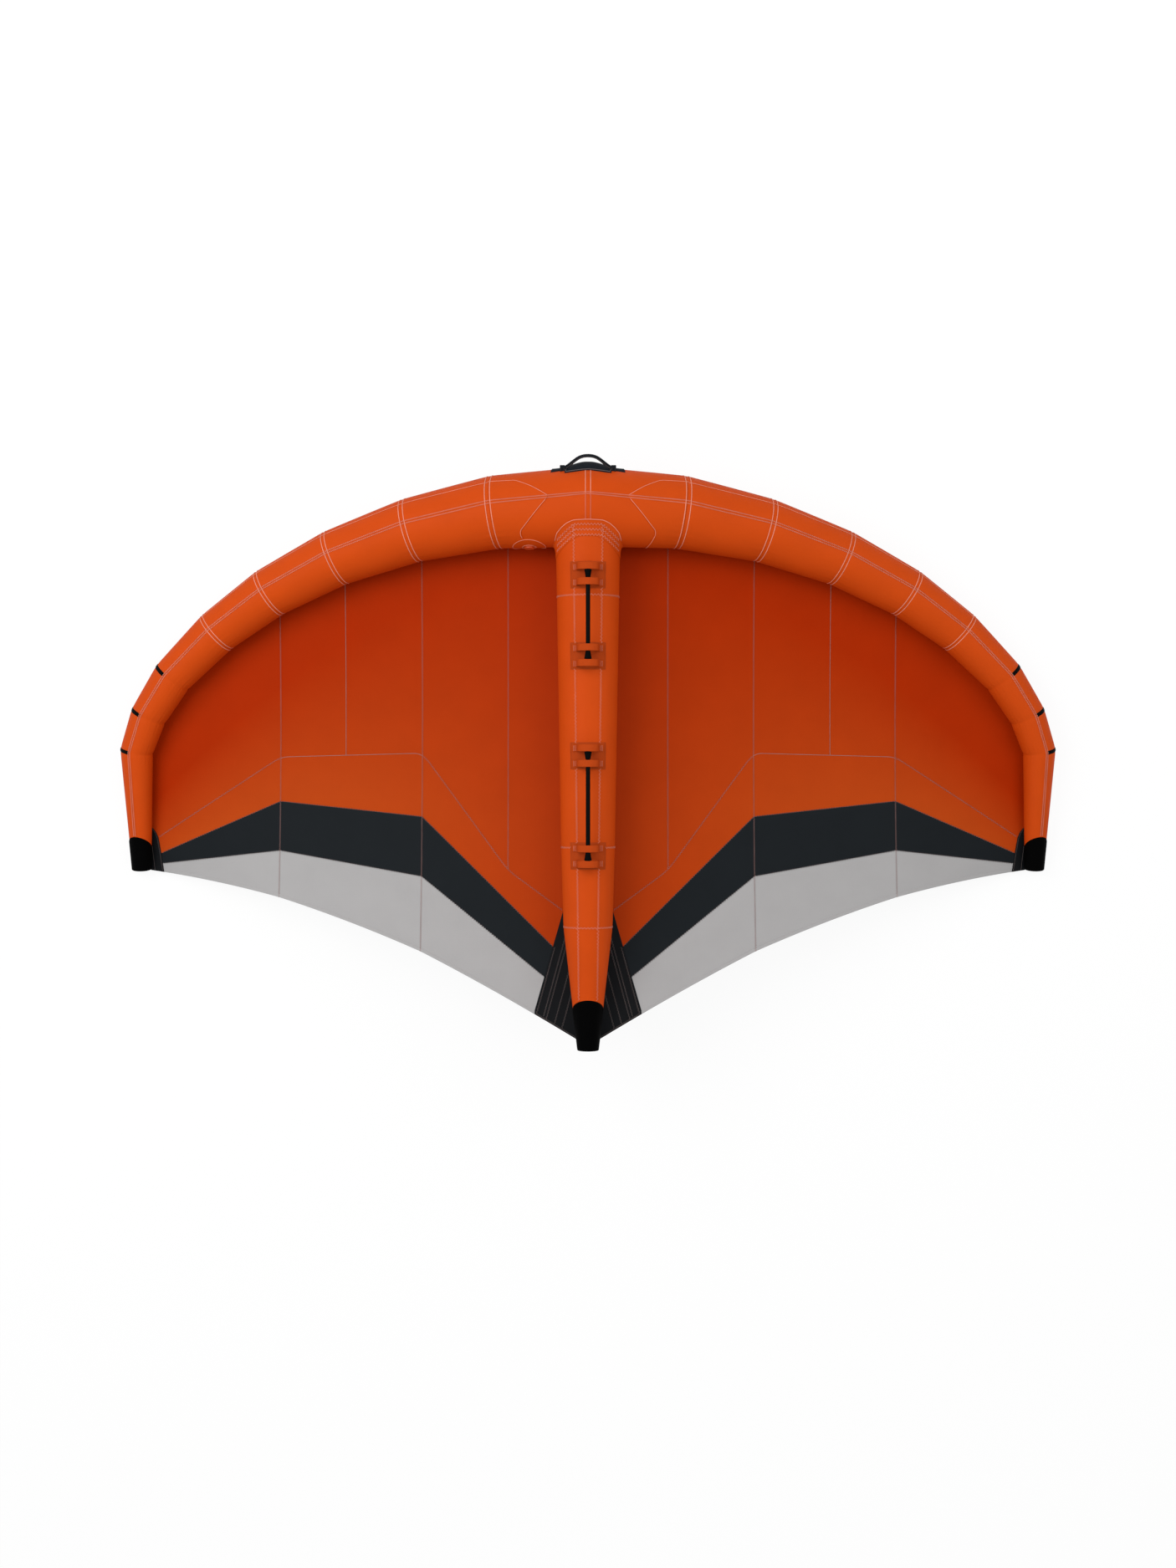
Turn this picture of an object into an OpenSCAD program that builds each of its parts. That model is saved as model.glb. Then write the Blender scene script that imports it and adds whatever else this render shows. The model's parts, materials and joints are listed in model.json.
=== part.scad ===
// Hand-held inflatable wing: a curved leading edge tube, one strut, a sewn canopy and its handles.
// Wing axes: X spans right, Y points at the nose, Z points out of the handle side of the strut.
// The origin of the wing axes is on the leading edge axis, at the middle of the nose.
// lay_down() turns the finished wing over onto the ground, handles up.

/* [Wing] */
// Span over the leading edge tube, tip to tip
wing_span = 3130; // [2600:10:3800]
// How far the tip ends lie behind the nose axis
tip_sweep = 1178; // [980:1:1430]
// How far the tip ends lie below the middle of the nose
tip_drop = 372; // [300:1:450]
// Length of the strut casing, from the nose axis to its tail end
strut_length = 1745; // [1650:5:2100]

/* [Leading edge tube] */
// Diameter at the middle of the nose
le_centre_d = 252; // [205:1:305]
// Diameter at the tip ends
le_tip_d = 63; // [50:1:80]
// Thickness of the casing cloth
casing_t = 1; // [0.6:0.1:1.2]
// Thickness of the bladder film
bladder_t = 0.3; // [0.2:0.1:0.6]
// Thickness of the patches sewn onto the tubes
patch_t = 0.8; // [0.5:0.1:1.5]
// Length of each black tip cap
tip_cap_l = 95; // [70:1:125]
// Width of the black bands over the outer seams
guard_band_w = 11; // [6:1:18]

/* [Strut] */
// Diameter of the strut where it leaves the leading edge
strut_front_d = 206; // [170:1:235]
// Diameter of the strut at its tail end
strut_tail_d = 66; // [52:1:80]
// Length of the tail cap
strut_cap_l = 137; // [100:1:170]
// Thickness of the tip and tail caps
cap_t = 1.5; // [1:0.1:3]

/* [Canopy] */
// Thickness of the canopy cloth
canopy_t = 1.1; // [0.6:0.1:1.4]
// Deepest camber of the canopy, as a share of its chord
camber = 0.05; // [0.02:0.005:0.07]
// How far the trailing edge is hollowed between two seams
te_hollow = 7; // [0:1:20]
// Width of the trailing edge hem
hem_w = 12; // [8:1:20]

/* [Strut handles] */
// Diameter of each handle bar
bar_d = 14; // [11:0.5:18]
// Free height under each bar, above the crest of the strut
bar_gap = 36; // [30:1:45]
// Large diameter of the conical end stops
stop_d = 24; // [19:0.5:29]
// Width of the webbing arches
arch_w = 22; // [18:1:26]
// Distance between the two arches of one pad
arch_pitch = 49; // [45:1:58]
// Inner radius of the arches
arch_r = 42; // [35:1:50]
// Thickness of the webbing
webbing_t = 2.4; // [1.8:0.1:3.2]
// Length of each handle pad along the strut
pad_l = 87; // [80:1:105]
// Width of each handle pad, across the strut
pad_w = 112; // [106:1:125]

/* [Nose handle] */
// Diameter of the nose handle cord
loop_d = 11; // [9:0.5:13]
// Half distance between the keepers of the nose handle
keeper_x = 82; // [70:1:95]
// Height of the nose handle loop
loop_h = 50; // [42:1:60]
// Lean of the loop, up from the horizontal
loop_lean = 50; // [35:1:65]
// How far the middle of the padded base stands proud of its rim
pad_crown = 14; // [6:1:16]

/* [Inflation valve] */
// Bore of the valve neck
valve_bore_d = 18; // [14:0.5:22]
// Outer diameter of the valve neck
valve_neck_d = 26; // [24:0.5:30]

/* [Hidden] */

SIDES = 24;              // sides of each tube
STEP = 360 / SIDES;
FIT = 0.3;               // clearance between layers that lie on each other
SEAM = 0.2;              // each canopy panel stops this far short of its seam
ORANGE = [0.84, 0.29, 0.08];
DEEP_ORANGE = [0.70, 0.20, 0.04];
WEBBING = [0.68, 0.20, 0.03];
NAVY = [0.14, 0.17, 0.19];
PALE = [0.68, 0.68, 0.68];
BLACK = [0.03, 0.03, 0.03];
FILM = [0.85, 0.85, 0.82];

// ---- leading edge joints, from the nose to the tip -------------------------------------------
// Shares of the half span, of the sweep, of the drop, and of the taper in diameter.
LE_X = [0, 0.1985, 0.3795, 0.5474, 0.6951, 0.8154, 0.9155, 0.9713, 1, 0.9987];
LE_Y = [0, 0.0114, 0.0558, 0.1272, 0.2213, 0.3292, 0.4557, 0.5647, 0.6648, 1];
LE_Z = [0, 0.1060, 0.2427, 0.3847, 0.5100, 0.6202, 0.6831, 0.7427, 0.7976, 1];
LE_TAPER = [0, 0.093, 0.231, 0.356, 0.463, 0.560, 0.649, 0.712, 0.772, 1];
LAST = len(LE_X) - 1;
function le_radius(k) = (le_centre_d - (le_centre_d - le_tip_d) * LE_TAPER[k]) / 2;
half_axis = wing_span / 2 - le_radius(LAST - 1);
LE_AXIS = [for (k = [0:LAST]) [LE_X[k] * half_axis, -LE_Y[k] * tip_sweep, -LE_Z[k] * tip_drop]];

// ---- tube frames: [centre, first axis, second axis, radius, stretch of the first axis] --------
function unit(v) = v / norm(v);
function le_way(k) = unit(LE_AXIS[k + 1] - LE_AXIS[k]);
function le_normal(k) =
    k == 0 ? [1, 0, 0] : k == LAST ? le_way(k - 1) : unit(le_way(k - 1) + le_way(k));
function frame_at(centre, along, radius, stretch) =
    let (e1 = unit(cross([0, 0, 1], along))) [centre, e1, cross(along, e1), radius, stretch];
function mirror_x(v) = [-v.x, v.y, v.z];
function mirror_frame(f) = [mirror_x(f[0]), mirror_x(f[1]), mirror_x(f[2]), f[3], f[4]];
LE = [for (k = [0:LAST])
    frame_at(LE_AXIS[k], le_normal(k), le_radius(k), 1 / (le_normal(k) * le_way(min(k, LAST - 1))))];

// Distance from the axis to the flat side of a tube of radius r, in the direction a
function side_radius(r, a) =
    let (rest = a - STEP * floor(a / STEP)) r * cos(STEP / 2) / cos(rest - STEP / 2);
function on_tube(f, a, off) =
    let (r = side_radius(f[3], a) + off) f[0] + r * (cos(a) * f[4] * f[1] + sin(a) * f[2]);
function ring(f, off) = [for (i = [0:SIDES - 1]) on_tube(f, i * STEP, off)];
// Angles from a to b with the tube's edges that lie between, so that a patch follows its flat sides
function arc_angles(a, b) =
    concat([a], [for (i = [ceil(a / STEP):floor(b / STEP)]) if (i * STEP > a + 0.5 && i * STEP < b - 0.5) i * STEP], [b]);
function between(f, g, t, a, off) = (1 - t) * on_tube(f, a, off) + t * on_tube(g, a, off);

// A tube along these frames, open at both ends, between two offsets from their surface
module tube_shell(frames, inner, outer) {
    n = SIDES;
    m = len(frames);
    points = concat([for (f = frames) each ring(f, outer)], [for (f = frames) each ring(f, inner)]);
    base = n * m;
    sides = [for (k = [0:m - 2], i = [0:n - 1])
        let (a = k * n + i, b = k * n + (i + 1) % n, c = a + n, d = b + n)
        each [[a, c, d], [a, d, b], [base + a, base + d, base + c], [base + a, base + b, base + d]]];
    rims = [for (i = [0:n - 1])
        let (a = i, b = (i + 1) % n, c = (m - 1) * n + i, d = (m - 1) * n + (i + 1) % n)
        each [[a, b, base + b], [a, base + b, base + a], [c, base + d, d], [c, base + c, base + d]]];
    polyhedron(points, concat(sides, rims));
}

// The same tube as a solid body
module tube_solid(frames, off) {
    n = SIDES;
    m = len(frames);
    points = [for (f = frames) each ring(f, off)];
    sides = [for (k = [0:m - 2], i = [0:n - 1])
        let (a = k * n + i, b = k * n + (i + 1) % n, c = a + n, d = b + n) each [[a, c, d], [a, d, b]]];
    polyhedron(points, concat(sides, [[for (i = [0:n - 1]) i]],
        [[for (i = [n - 1:-1:0]) (m - 1) * n + i]]));
}

// A thin closed sheet between two grids of points, rows of columns
module sheet(top, bottom) {
    u = len(top) - 1;
    v = len(top[0]) - 1;
    w = v + 1;
    base = (u + 1) * w;
    function cell(a, b, c, d) = [[a, b, c], [a, c, d]];
    faces = concat(
        [for (i = [0:u - 1], j = [0:v - 1]) let (a = i * w + j)
            each concat(cell(a, a + w, a + w + 1, a + 1),
                cell(base + a, base + a + 1, base + a + w + 1, base + a + w))],
        [for (i = [0:u - 1]) let (a = i * w, b = i * w + v)
            each concat(cell(a, base + a, base + a + w, a + w),
                cell(b, b + w, base + b + w, base + b))],
        [for (j = [0:v - 1]) let (a = j, b = u * w + j)
            each concat(cell(a, a + 1, base + a + 1, base + a),
                cell(b, base + b, base + b + 1, b + 1))]);
    polyhedron(concat([for (c = top) each c], [for (c = bottom) each c]), faces);
}

// A patch on a tube. Each column is [frame, next frame, share between them, list of angles].
module tube_patch(columns, low, high) {
    function lay(off) = [for (c = columns) [for (a = c[3]) between(c[0], c[1], c[2], a, off)]];
    sheet(lay(high), lay(low));
}

module both_sides() {
    children();
    mirror([1, 0, 0]) children();
}

// ---- strut stations ---------------------------------------------------------------------------
// Shares of the strut length, and of the taper in diameter from front to tail
STRUT_AT = [0.023, 0.167, 0.6275, 0.774, 0.924, 1];
STRUT_TAPER = [-0.03, 0.047, 0.24, 0.35, 0.775, 1];
STRUT_Y = [for (s = STRUT_AT) -s * strut_length];
STRUT_R = [for (s = STRUT_TAPER) (strut_front_d - (strut_front_d - strut_tail_d) * s) / 2];
function strut_r(y) =
    y > STRUT_Y[0] ? STRUT_R[0] : lookup(-y, [for (k = [0:len(STRUT_Y) - 1]) [-STRUT_Y[k], STRUT_R[k]]]);
function strut_frame(y) = [[0, y, 0], [1, 0, 0], [0, 0, 1], strut_r(y), 1];
STRUT = [for (y = STRUT_Y) strut_frame(y)];
// Places from y0 back to y1, with the stations that lie between
function strut_places(y0, y1) = concat([y0], [for (y = STRUT_Y) if (y < y0 - 1 && y > y1 + 1) y], [y1]);
module strut_patch(y0, y1, angles, low, high) {
    tube_patch([for (y = strut_places(y0, y1)) [strut_frame(y), strut_frame(y), 0, angles]], low, high);
}

// ---- canopy surface ---------------------------------------------------------------------------
ATTACH_ANGLE = 240;      // where the canopy is sewn to the tube, from the front round over the crest
ATTACH = [for (k = [0:LAST - 1]) on_tube(LE[k], ATTACH_ANGLE, 0.5)];
TIP_X = ATTACH[LAST - 1].x;
// Trailing edge corners: middle, inner seam, outer seam, tip
seam_b = TIP_X * 0.1765;
seam_a = TIP_X * 0.3696;
seam_c = TIP_X * 0.5433;
seam_d = TIP_X * 0.6921;
TE_X = [0, seam_a, seam_d, TIP_X];
TE_Y = [-0.9969 * strut_length, -0.825 * strut_length, -1.0766 * tip_sweep, -1.0047 * tip_sweep];
tip_under = sqrt(pow(le_tip_d / 2, 2) - pow(LE_AXIS[LAST].x - TIP_X, 2));
TE_Z = [-strut_tail_d / 2 - FIT - cap_t - 0.7, -0.336 * tip_drop, -0.645 * tip_drop, -tip_drop - tip_under - 7];

function pairs(xs, ys) = [for (k = [0:len(xs) - 1]) [xs[k], ys[k]]];
function span_at(list, x, i) = lookup(x, [for (p = list) [p.x, p[i]]]);
function attach_y(x) = span_at(ATTACH, x, 1);
function attach_z(x) = span_at(ATTACH, x, 2);
function te_bay(x) = x < seam_a ? 0 : x < seam_d ? 1 : 2;
function te_y(x) =
    let (k = te_bay(x), t = (x - TE_X[k]) / (TE_X[k + 1] - TE_X[k]))
    lookup(x, pairs(TE_X, TE_Y)) + te_hollow * 4 * t * (1 - t);
function te_z(x) = lookup(x, pairs(TE_X, TE_Z));
// Camber grows from the strut to the middle of each side and dies out at the tip
function camber_at(x) = camber * (1 - pow(abs(2 * x / TIP_X - 0.75) / 1.25, 2));
function loose_z(x, y) =
    let (chord = attach_y(x) - te_y(x), s = (attach_y(x) - y) / chord)
    (1 - s) * attach_z(x) + s * te_z(x) - camber_at(x) * chord * 4 * s * (1 - s);
// What is sewn round the strut: the collar at its front and the cap at its tail
collar_end = le_centre_d / 2 + 40;
cap_mouth = strut_length - strut_cap_l;
function strut_layers(y) = lookup(-y, [[collar_end + 10, FIT + patch_t], [collar_end + 60, 0],
    [cap_mouth - 130, 0], [cap_mouth - 20, FIT + cap_t]]);
// Near the strut the canopy lies on the strut's lower side
function strut_hold(x) = exp(-pow(x / (1.3 * strut_front_d), 2));
function canopy_z(x, y) =
    let (under = -strut_r(y) - 0.5 - strut_layers(y), held = y > -le_centre_d / 2 ? min(attach_z(0), under) : under)
    loose_z(x, y) + strut_hold(x) * (held - loose_z(0, max(y, te_y(0))));

// Seam lines across the canopy, as y at a distance x from the middle
function stripe_top(x) = lookup(x, [[0, -0.878 * strut_length], [seam_a, -0.573 * strut_length],
    [seam_d, -0.8061 * tip_sweep], [TIP_X, -0.97 * tip_sweep]]);
function stripe_bottom(x) = lookup(x, [[0, -0.935 * strut_length], [seam_a, -0.6855 * strut_length],
    [seam_d, -0.9452 * tip_sweep], [TIP_X, -0.9895 * tip_sweep]]);
// The seam between the front and rear panels runs this far in front of the stripe
function panel_seam(x) = stripe_top(x)
    + lookup(x, [[0, 169], [seam_b, 103], [seam_a, 210], [seam_d, 148], [TIP_X, 51]]);

// Every panel and every piece of trim has its columns on one grid, so that they fit each other.
function sorted(v) = len(v) < 2 ? v
    : let (p = v[0], rest = [for (i = [1:len(v) - 1]) v[i]])
        concat(sorted([for (x = rest) if (x < p) x]), [p], sorted([for (x = rest) if (x >= p) x]));
GRID_STOPS = sorted(concat([for (p = ATTACH) p.x], [seam_b, seam_a, seam_c, seam_d]));
GRID_WIDE = 90;
GRID = concat([for (k = [0:len(GRID_STOPS) - 2])
    let (a = GRID_STOPS[k], b = GRID_STOPS[k + 1], n = max(1, ceil((b - a) / GRID_WIDE)))
        for (i = [0:n - 1]) a + (b - a) * i / n], [TIP_X]);
function columns(x0, x1) = concat([x0], [for (x = GRID) if (x > x0 + 2 && x < x1 - 2) x], [x1]);

// A piece of canopy between two lines, lifted off the canopy's own surface by off
module cloth(x0, x1, front, rear, off, t, tall = 100) {
    xs = columns(x0, x1);
    span = max([for (x = xs) front(x) - rear(x)]);
    n = max(1, ceil(span / tall));
    function lay(h) = [for (x = xs) [for (j = [0:n])
        let (y = front(x) + (rear(x) - front(x)) * j / n) [x, y, canopy_z(x, y) + h]]];
    sheet(lay(off), lay(off - t));
}
module panel(tint, x0, x1, front, rear) {
    color(tint) both_sides()
        cloth(x0 + SEAM, x1 - SEAM, function(x) front(x) - SEAM, function(x) rear(x) + SEAM, 0, canopy_t);
}

// ---- where the nose handle's loop stands --------------------------------------------------------
BASE_T = 3;
loop_r = loop_d / 2;
FOOT_ANGLE = 25;
KEEPER_SPOT = between(LE[0], LE[1], keeper_x / LE_AXIS[1].x, FOOT_ANGLE, FIT + BASE_T + loop_r + 3);
LOOP_FOOT = [0, KEEPER_SPOT.y, KEEPER_SPOT.z];
LOOP_WAY = [0, cos(loop_lean), sin(loop_lean)];

// ---- lying on the ground -----------------------------------------------------------------------
// The wing rests on the underside of the tube at joint 5 and on its tip caps.
LE_REST = on_tube(LE[5], 270, 0);
TIP_REST = on_tube(LE[LAST], 270, FIT + cap_t) + cap_t * le_way(LAST - 1);
rest_pitch = atan2(LE_REST.z - TIP_REST.z, LE_REST.y - TIP_REST.y);
function pitched(p) = [p.x, p.y * cos(rest_pitch) + p.z * sin(rest_pitch),
    p.z * cos(rest_pitch) - p.y * sin(rest_pitch)];
front_y = pitched(LOOP_FOOT + loop_h * LOOP_WAY).y + loop_d / 2;
rear_y = pitched([0, -strut_length - cap_t, -strut_tail_d / 2 - FIT - cap_t]).y;
rest_move = [0, -(front_y + rear_y) / 2, -pitched(LE_REST).z];
module lay_down() {
    translate(rest_move) rotate([-rest_pitch, 0, 0]) children();
}

// ---- leading edge --------------------------------------------------------------------------------
valve_share = 0.653;     // where the valve sits, from the nose towards joint 1
VALVE_ANGLE = 172.5;     // on the rear side, in the middle of a flat side of the tube
VALVE_SPOT = between(LE[0], LE[1], valve_share, VALVE_ANGLE, 0);
VALVE_SPAN = unit(between(LE[0], LE[1], valve_share + 0.1, VALVE_ANGLE, 0) - VALVE_SPOT);
VALVE_OUT = unit(cross(between(LE[0], LE[1], valve_share, VALVE_ANGLE + 5, 0) - VALVE_SPOT, VALVE_SPAN));

// Puts children on the valve: X along the span towards the strut, Z out of the tube
module at_valve() {
    x = -mirror_x(VALVE_SPAN);
    z = mirror_x(VALVE_OUT);
    y = cross(z, x);
    p = mirror_x(VALVE_SPOT);
    multmatrix([[x.x, y.x, z.x, p.x], [x.y, y.y, z.y, p.y], [x.z, y.z, z.z, p.z], [0, 0, 0, 1]]) children();
}

CONNECTOR_R = 8;         // outer radius of the short pipe between the two bladders
connector_from = -le_centre_d / 2 + casing_t + FIT + bladder_t + 3;
strut_bladder_y = -le_centre_d / 2 - 10;
connector_to = strut_bladder_y - 3;
module connector_hole() {
    translate([0, connector_to - 5, 0]) rotate([-90, 0, 0]) cylinder(r = CONNECTOR_R + FIT, h = 40, $fn = 32);
}

module le_casing_centre_left() {
    color(ORANGE) difference() {
        mirror([1, 0, 0]) tube_shell([LE[0], LE[1]], -casing_t, 0);
        at_valve() translate([0, 0, -12]) cylinder(d = valve_neck_d + 1, h = 24, $fn = 48);
        connector_hole();
    }
}
module le_casing_centre_right() {
    color(ORANGE) difference() {
        tube_shell([LE[0], LE[1]], -casing_t, 0);
        connector_hole();
    }
}
module le_casing(k) {
    color(ORANGE) both_sides() tube_shell([LE[k - 1], LE[k]], -casing_t, 0);
}

// One bladder fills the whole leading edge. Its film is closed at both tips.
module le_bladder() {
    out = -casing_t - FIT;
    color(FILM) difference() {
        both_sides() tube_solid(half_bladder(1), out);
        both_sides() tube_solid(half_bladder(1 + bladder_t), out - bladder_t);
        at_valve() translate([0, 0, -20]) cylinder(d = valve_neck_d + 0.6, h = 30, $fn = 48);
        connector_hole();
    }
}
// Frames from just past the middle out to a stated distance short of the tip
function half_bladder(short) =
    let (tip = LE[LAST], t = short / norm(tip[0] - LE[LAST - 1][0]))
    concat([moved(LE[0], [-0.5, 0, 0])], [for (k = [0:LAST - 1]) LE[k]], [part_way(tip, LE[LAST - 1], t)]);

// Stitched cloth doublers beside the nose, from joint 1 to an arrow-shaped inner edge
module nose_reinforcements() {
    inner = [[45, 0.66], [60, 0.53], [75, 0.41], [90, 0.41], [105, 0.5], [120, 0.59], [135, 0.66], [150, 0.64]];
    function row(t) = [for (p = inner) p[1] + (0.985 - p[1]) * t];
    rows = [for (t = [0, 0.5, 1]) row(t)];
    function lay(off) = [for (r = rows) [for (j = [0:len(inner) - 1])
        between(LE[0], LE[1], r[j], inner[j][0], off)]];
    color(ORANGE) difference() {
        both_sides() sheet(lay(FIT + patch_t), lay(FIT));
        at_valve() translate([0, 0, -patch_r]) cylinder(r = patch_r + 0.5, h = 2 * patch_r, $fn = 64);
    }
}

// Black bands over the seams at joints 6, 7 and 8, from the crest seam round the outer side
module seam_guard_bands() {
    angles = [-30, -15, 0, 15, 30, 45, 60, 75];
    color(BLACK) both_sides() for (k = [6:8]) {
        before = guard_band_w / 2 / norm(LE_AXIS[k] - LE_AXIS[k - 1]);
        after = guard_band_w / 2 / norm(LE_AXIS[k + 1] - LE_AXIS[k]);
        tube_patch([[LE[k - 1], LE[k], 1 - before, angles], [LE[k], LE[k], 0, angles],
            [LE[k], LE[k + 1], after, angles]], FIT, FIT + 1.2);
    }
}

// A cup over the end of a tube, open towards the middle of the tube
module end_cup(mouth, end, way, inner_off) {
    past = [end[0] + cap_t * way, end[1], end[2], end[3], end[4]];
    difference() {
        tube_solid([mouth, end, past], inner_off + cap_t);
        tube_solid([moved(mouth, -5 * way), mouth, end], inner_off);
    }
}
function moved(f, v) = [f[0] + v, f[1], f[2], f[3], f[4]];
function part_way(f, g, t) = [for (i = [0:4]) (i == 1 || i == 2) ? unit(f[i] + (g[i] - f[i]) * t)
    : f[i] + (g[i] - f[i]) * t];
module tip_caps() {
    share = 1 - tip_cap_l / norm(LE_AXIS[LAST] - LE_AXIS[LAST - 1]);
    mouth = part_way(LE[LAST - 1], LE[LAST], share);
    straight = [mouth[0], LE[LAST][1], LE[LAST][2], mouth[3], 1];
    color(BLACK) both_sides() end_cup(straight, LE[LAST], le_way(LAST - 1), FIT);
}

// ---- strut ---------------------------------------------------------------------------------------
module nose_block(off) {
    tube_solid([mirror_frame(LE[1]), LE[0], LE[1]], off);
}
module strut_casing(k) {
    color(ORANGE) difference() {
        tube_shell([STRUT[k - 1], STRUT[k]], -casing_t, 0);
        if (k == 1) nose_block(FIT);
    }
}
module strut_casing_tail() {
    color(ORANGE) tube_shell([STRUT[3], STRUT[4], STRUT[5]], -casing_t, 0);
}
module strut_bladder() {
    out = -casing_t - FIT;
    frames = concat([strut_frame(strut_bladder_y)], [for (k = [1:4]) STRUT[k]],
        [strut_frame(-strut_length + 1)]);
    inside = concat([strut_frame(strut_bladder_y - bladder_t)], [for (k = [1:4]) STRUT[k]],
        [strut_frame(-strut_length + 1 + bladder_t)]);
    color(FILM) difference() {
        tube_solid(frames, out);
        tube_solid(inside, out - bladder_t);
        connector_hole();
    }
}
// The short flanged pipe that fills the strut from the leading edge
module one_pump_connector() {
    pipe = connector_from - connector_to;
    color(BLACK) translate([0, connector_from, 0]) rotate([90, 0, 0]) difference() {
        union() {
            cylinder(r = CONNECTOR_R, h = pipe, $fn = 32);
            cylinder(r = CONNECTOR_R + 5, h = 1.2, $fn = 32);
            translate([0, 0, pipe - 1.2]) cylinder(r = CONNECTOR_R + 5, h = 1.2, $fn = 32);
        }
        translate([0, 0, -1]) cylinder(r = CONNECTOR_R - 3, h = pipe + 2, $fn = 32);
    }
}
// Sewn collar over the seam between the strut and the leading edge
module junction_collar() {
    color(ORANGE) difference() {
        tube_shell([STRUT[0], strut_frame(-collar_end)], FIT, FIT + patch_t);
        nose_block(FIT);
    }
}
module strut_cap() {
    mouth = strut_frame(-cap_mouth);
    color(BLACK) end_cup(mouth, STRUT[5], [0, -1, 0], FIT);
}

// ---- canopy panels ---------------------------------------------------------------------------------
FRONT_SEAMS = [0, seam_b, seam_a, seam_c, seam_d, TIP_X];
REAR_SEAMS = [0, seam_a, seam_d, TIP_X];
module canopy_front(k) {
    panel(ORANGE, FRONT_SEAMS[k - 1], FRONT_SEAMS[k], function(x) attach_y(x), function(x) panel_seam(x));
}
module canopy_rear(k) {
    panel(DEEP_ORANGE, REAR_SEAMS[k - 1], REAR_SEAMS[k], function(x) panel_seam(x), function(x) stripe_top(x));
}
module canopy_stripe(k) {
    panel(NAVY, REAR_SEAMS[k - 1], REAR_SEAMS[k], function(x) stripe_top(x), function(x) stripe_bottom(x));
}
module canopy_edge(k) {
    panel(PALE, REAR_SEAMS[k - 1], REAR_SEAMS[k], function(x) stripe_bottom(x), function(x) te_y(x));
}

// ---- canopy trim -----------------------------------------------------------------------------------
TRIM = 0.5;              // trim sewn on the handle side stands this far off the canopy
module corner_reinforcements() {
    x_in = 20;
    x_apex = 0.39 * strut_front_d;
    x_out = 0.84 * strut_front_d;
    apex_y = -0.747 * strut_length;
    front = function(x) x < x_apex ? apex_y
        : apex_y + (te_y(x_out) + 12 - apex_y) * (x - x_apex) / (x_out - x_apex);
    color(BLACK) both_sides() {
        cloth(x_in, x_apex, front, function(x) te_y(x) + SEAM, TRIM + patch_t, patch_t);
        cloth(x_apex + 0.1, x_out, front, function(x) te_y(x) + SEAM, TRIM + patch_t, patch_t);
    }
}
module tip_reinforcements() {
    x_in = TIP_X * 0.9665;
    x_out = TIP_X - 7;
    front = function(x) te_y(x_in) + 12 + (x - x_in) / (x_out - x_in) * 0.12 * tip_sweep;
    color(NAVY) both_sides()
        cloth(x_in, x_out, front, function(x) te_y(x) + SEAM, TRIM + patch_t, patch_t, 60);
}
module trailing_edge_hem() {
    x_in = 0.84 * strut_front_d + 2;
    x_out = TIP_X * 0.9665 - 2;
    color(PALE) both_sides()
        cloth(x_in, x_out, function(x) te_y(x) + hem_w, function(x) te_y(x) + SEAM, TRIM + patch_t, patch_t);
}

// ---- strut handles ---------------------------------------------------------------------------------
PADS = [-228.5, -485.5, -802.5, -1121];   // middle of each pad, behind the nose axis
PAD_T = 2;
bar_r = bar_d / 2;
// Height of a handle's axis: level along the strut, clear of the crest at its front pad
function bar_z(h) = strut_r(PADS[2 * h]) + PAD_T + bar_gap + bar_r;
function hinge_z(h) = bar_z(h) + bar_r + FIT - arch_r;
foot_x = arch_r + 8;      // how far the feet reach to each side
// Degrees from the crest to a point at x on a cylinder of radius r
function off_crest(x, r) = asin(x / r);

module handle_pads() {
    color(WEBBING) for (y = PADS) {
        edge = off_crest(pad_w / 2, strut_r(y));
        strut_patch(y + pad_l / 2, y - pad_l / 2, arc_angles(90 - edge, 90 + edge), 0, PAD_T);
    }
}
// One webbing arch: a round crown, two straight legs and two sewn feet
module arch(y, h) {
    zc = hinge_z(h);
    out = arch_r + webbing_t;
    surface = strut_r(y) + PAD_T;
    leg_foot = surface * cos(off_crest(out, surface));
    translate([0, y + arch_w / 2, zc]) rotate([90, 0, 0]) difference() {
        cylinder(r = out, h = arch_w, $fn = 64);
        translate([0, 0, -1]) cylinder(r = arch_r, h = arch_w + 2, $fn = 64);
        translate([-out - 1, -out - 1, -1]) cube([2 * out + 2, out + 1, arch_w + 2]);
    }
    for (side = [-1, 1]) difference() {
        translate([side > 0 ? arch_r : -out, y - arch_w / 2, leg_foot - 8])
            cube([webbing_t, arch_w, zc - leg_foot + 8.5]);
        tube_solid([strut_frame(y + arch_w), strut_frame(y - arch_w)], PAD_T + FIT);
    }
}
module arch_feet(y) {
    surface = strut_r(y) + PAD_T;
    near = off_crest(arch_r, surface);
    far = off_crest(foot_x, surface);
    for (side = [-1, 1])
        strut_patch(y + arch_w / 2, y - arch_w / 2,
            side < 0 ? arc_angles(90 + near, 90 + far) : arc_angles(90 - far, 90 - near),
            PAD_T + FIT, PAD_T + FIT + webbing_t);
}
module arches(h) {
    color(WEBBING) for (p = [0, 1], e = [-1, 1]) {
        y = PADS[2 * h + p] + e * arch_pitch / 2;
        union() {
            arch(y, h);
            arch_feet(y);
        }
    }
}
module handle_bar(h) {
    from = PADS[2 * h] + (arch_pitch + arch_w) / 2 - 2;
    to = PADS[2 * h + 1] - (arch_pitch + arch_w) / 2 + 2;
    color(BLACK) translate([0, from, bar_z(h)]) rotate([90, 0, 0])
        cylinder(d = bar_d, h = from - to, $fn = 48);
}
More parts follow.
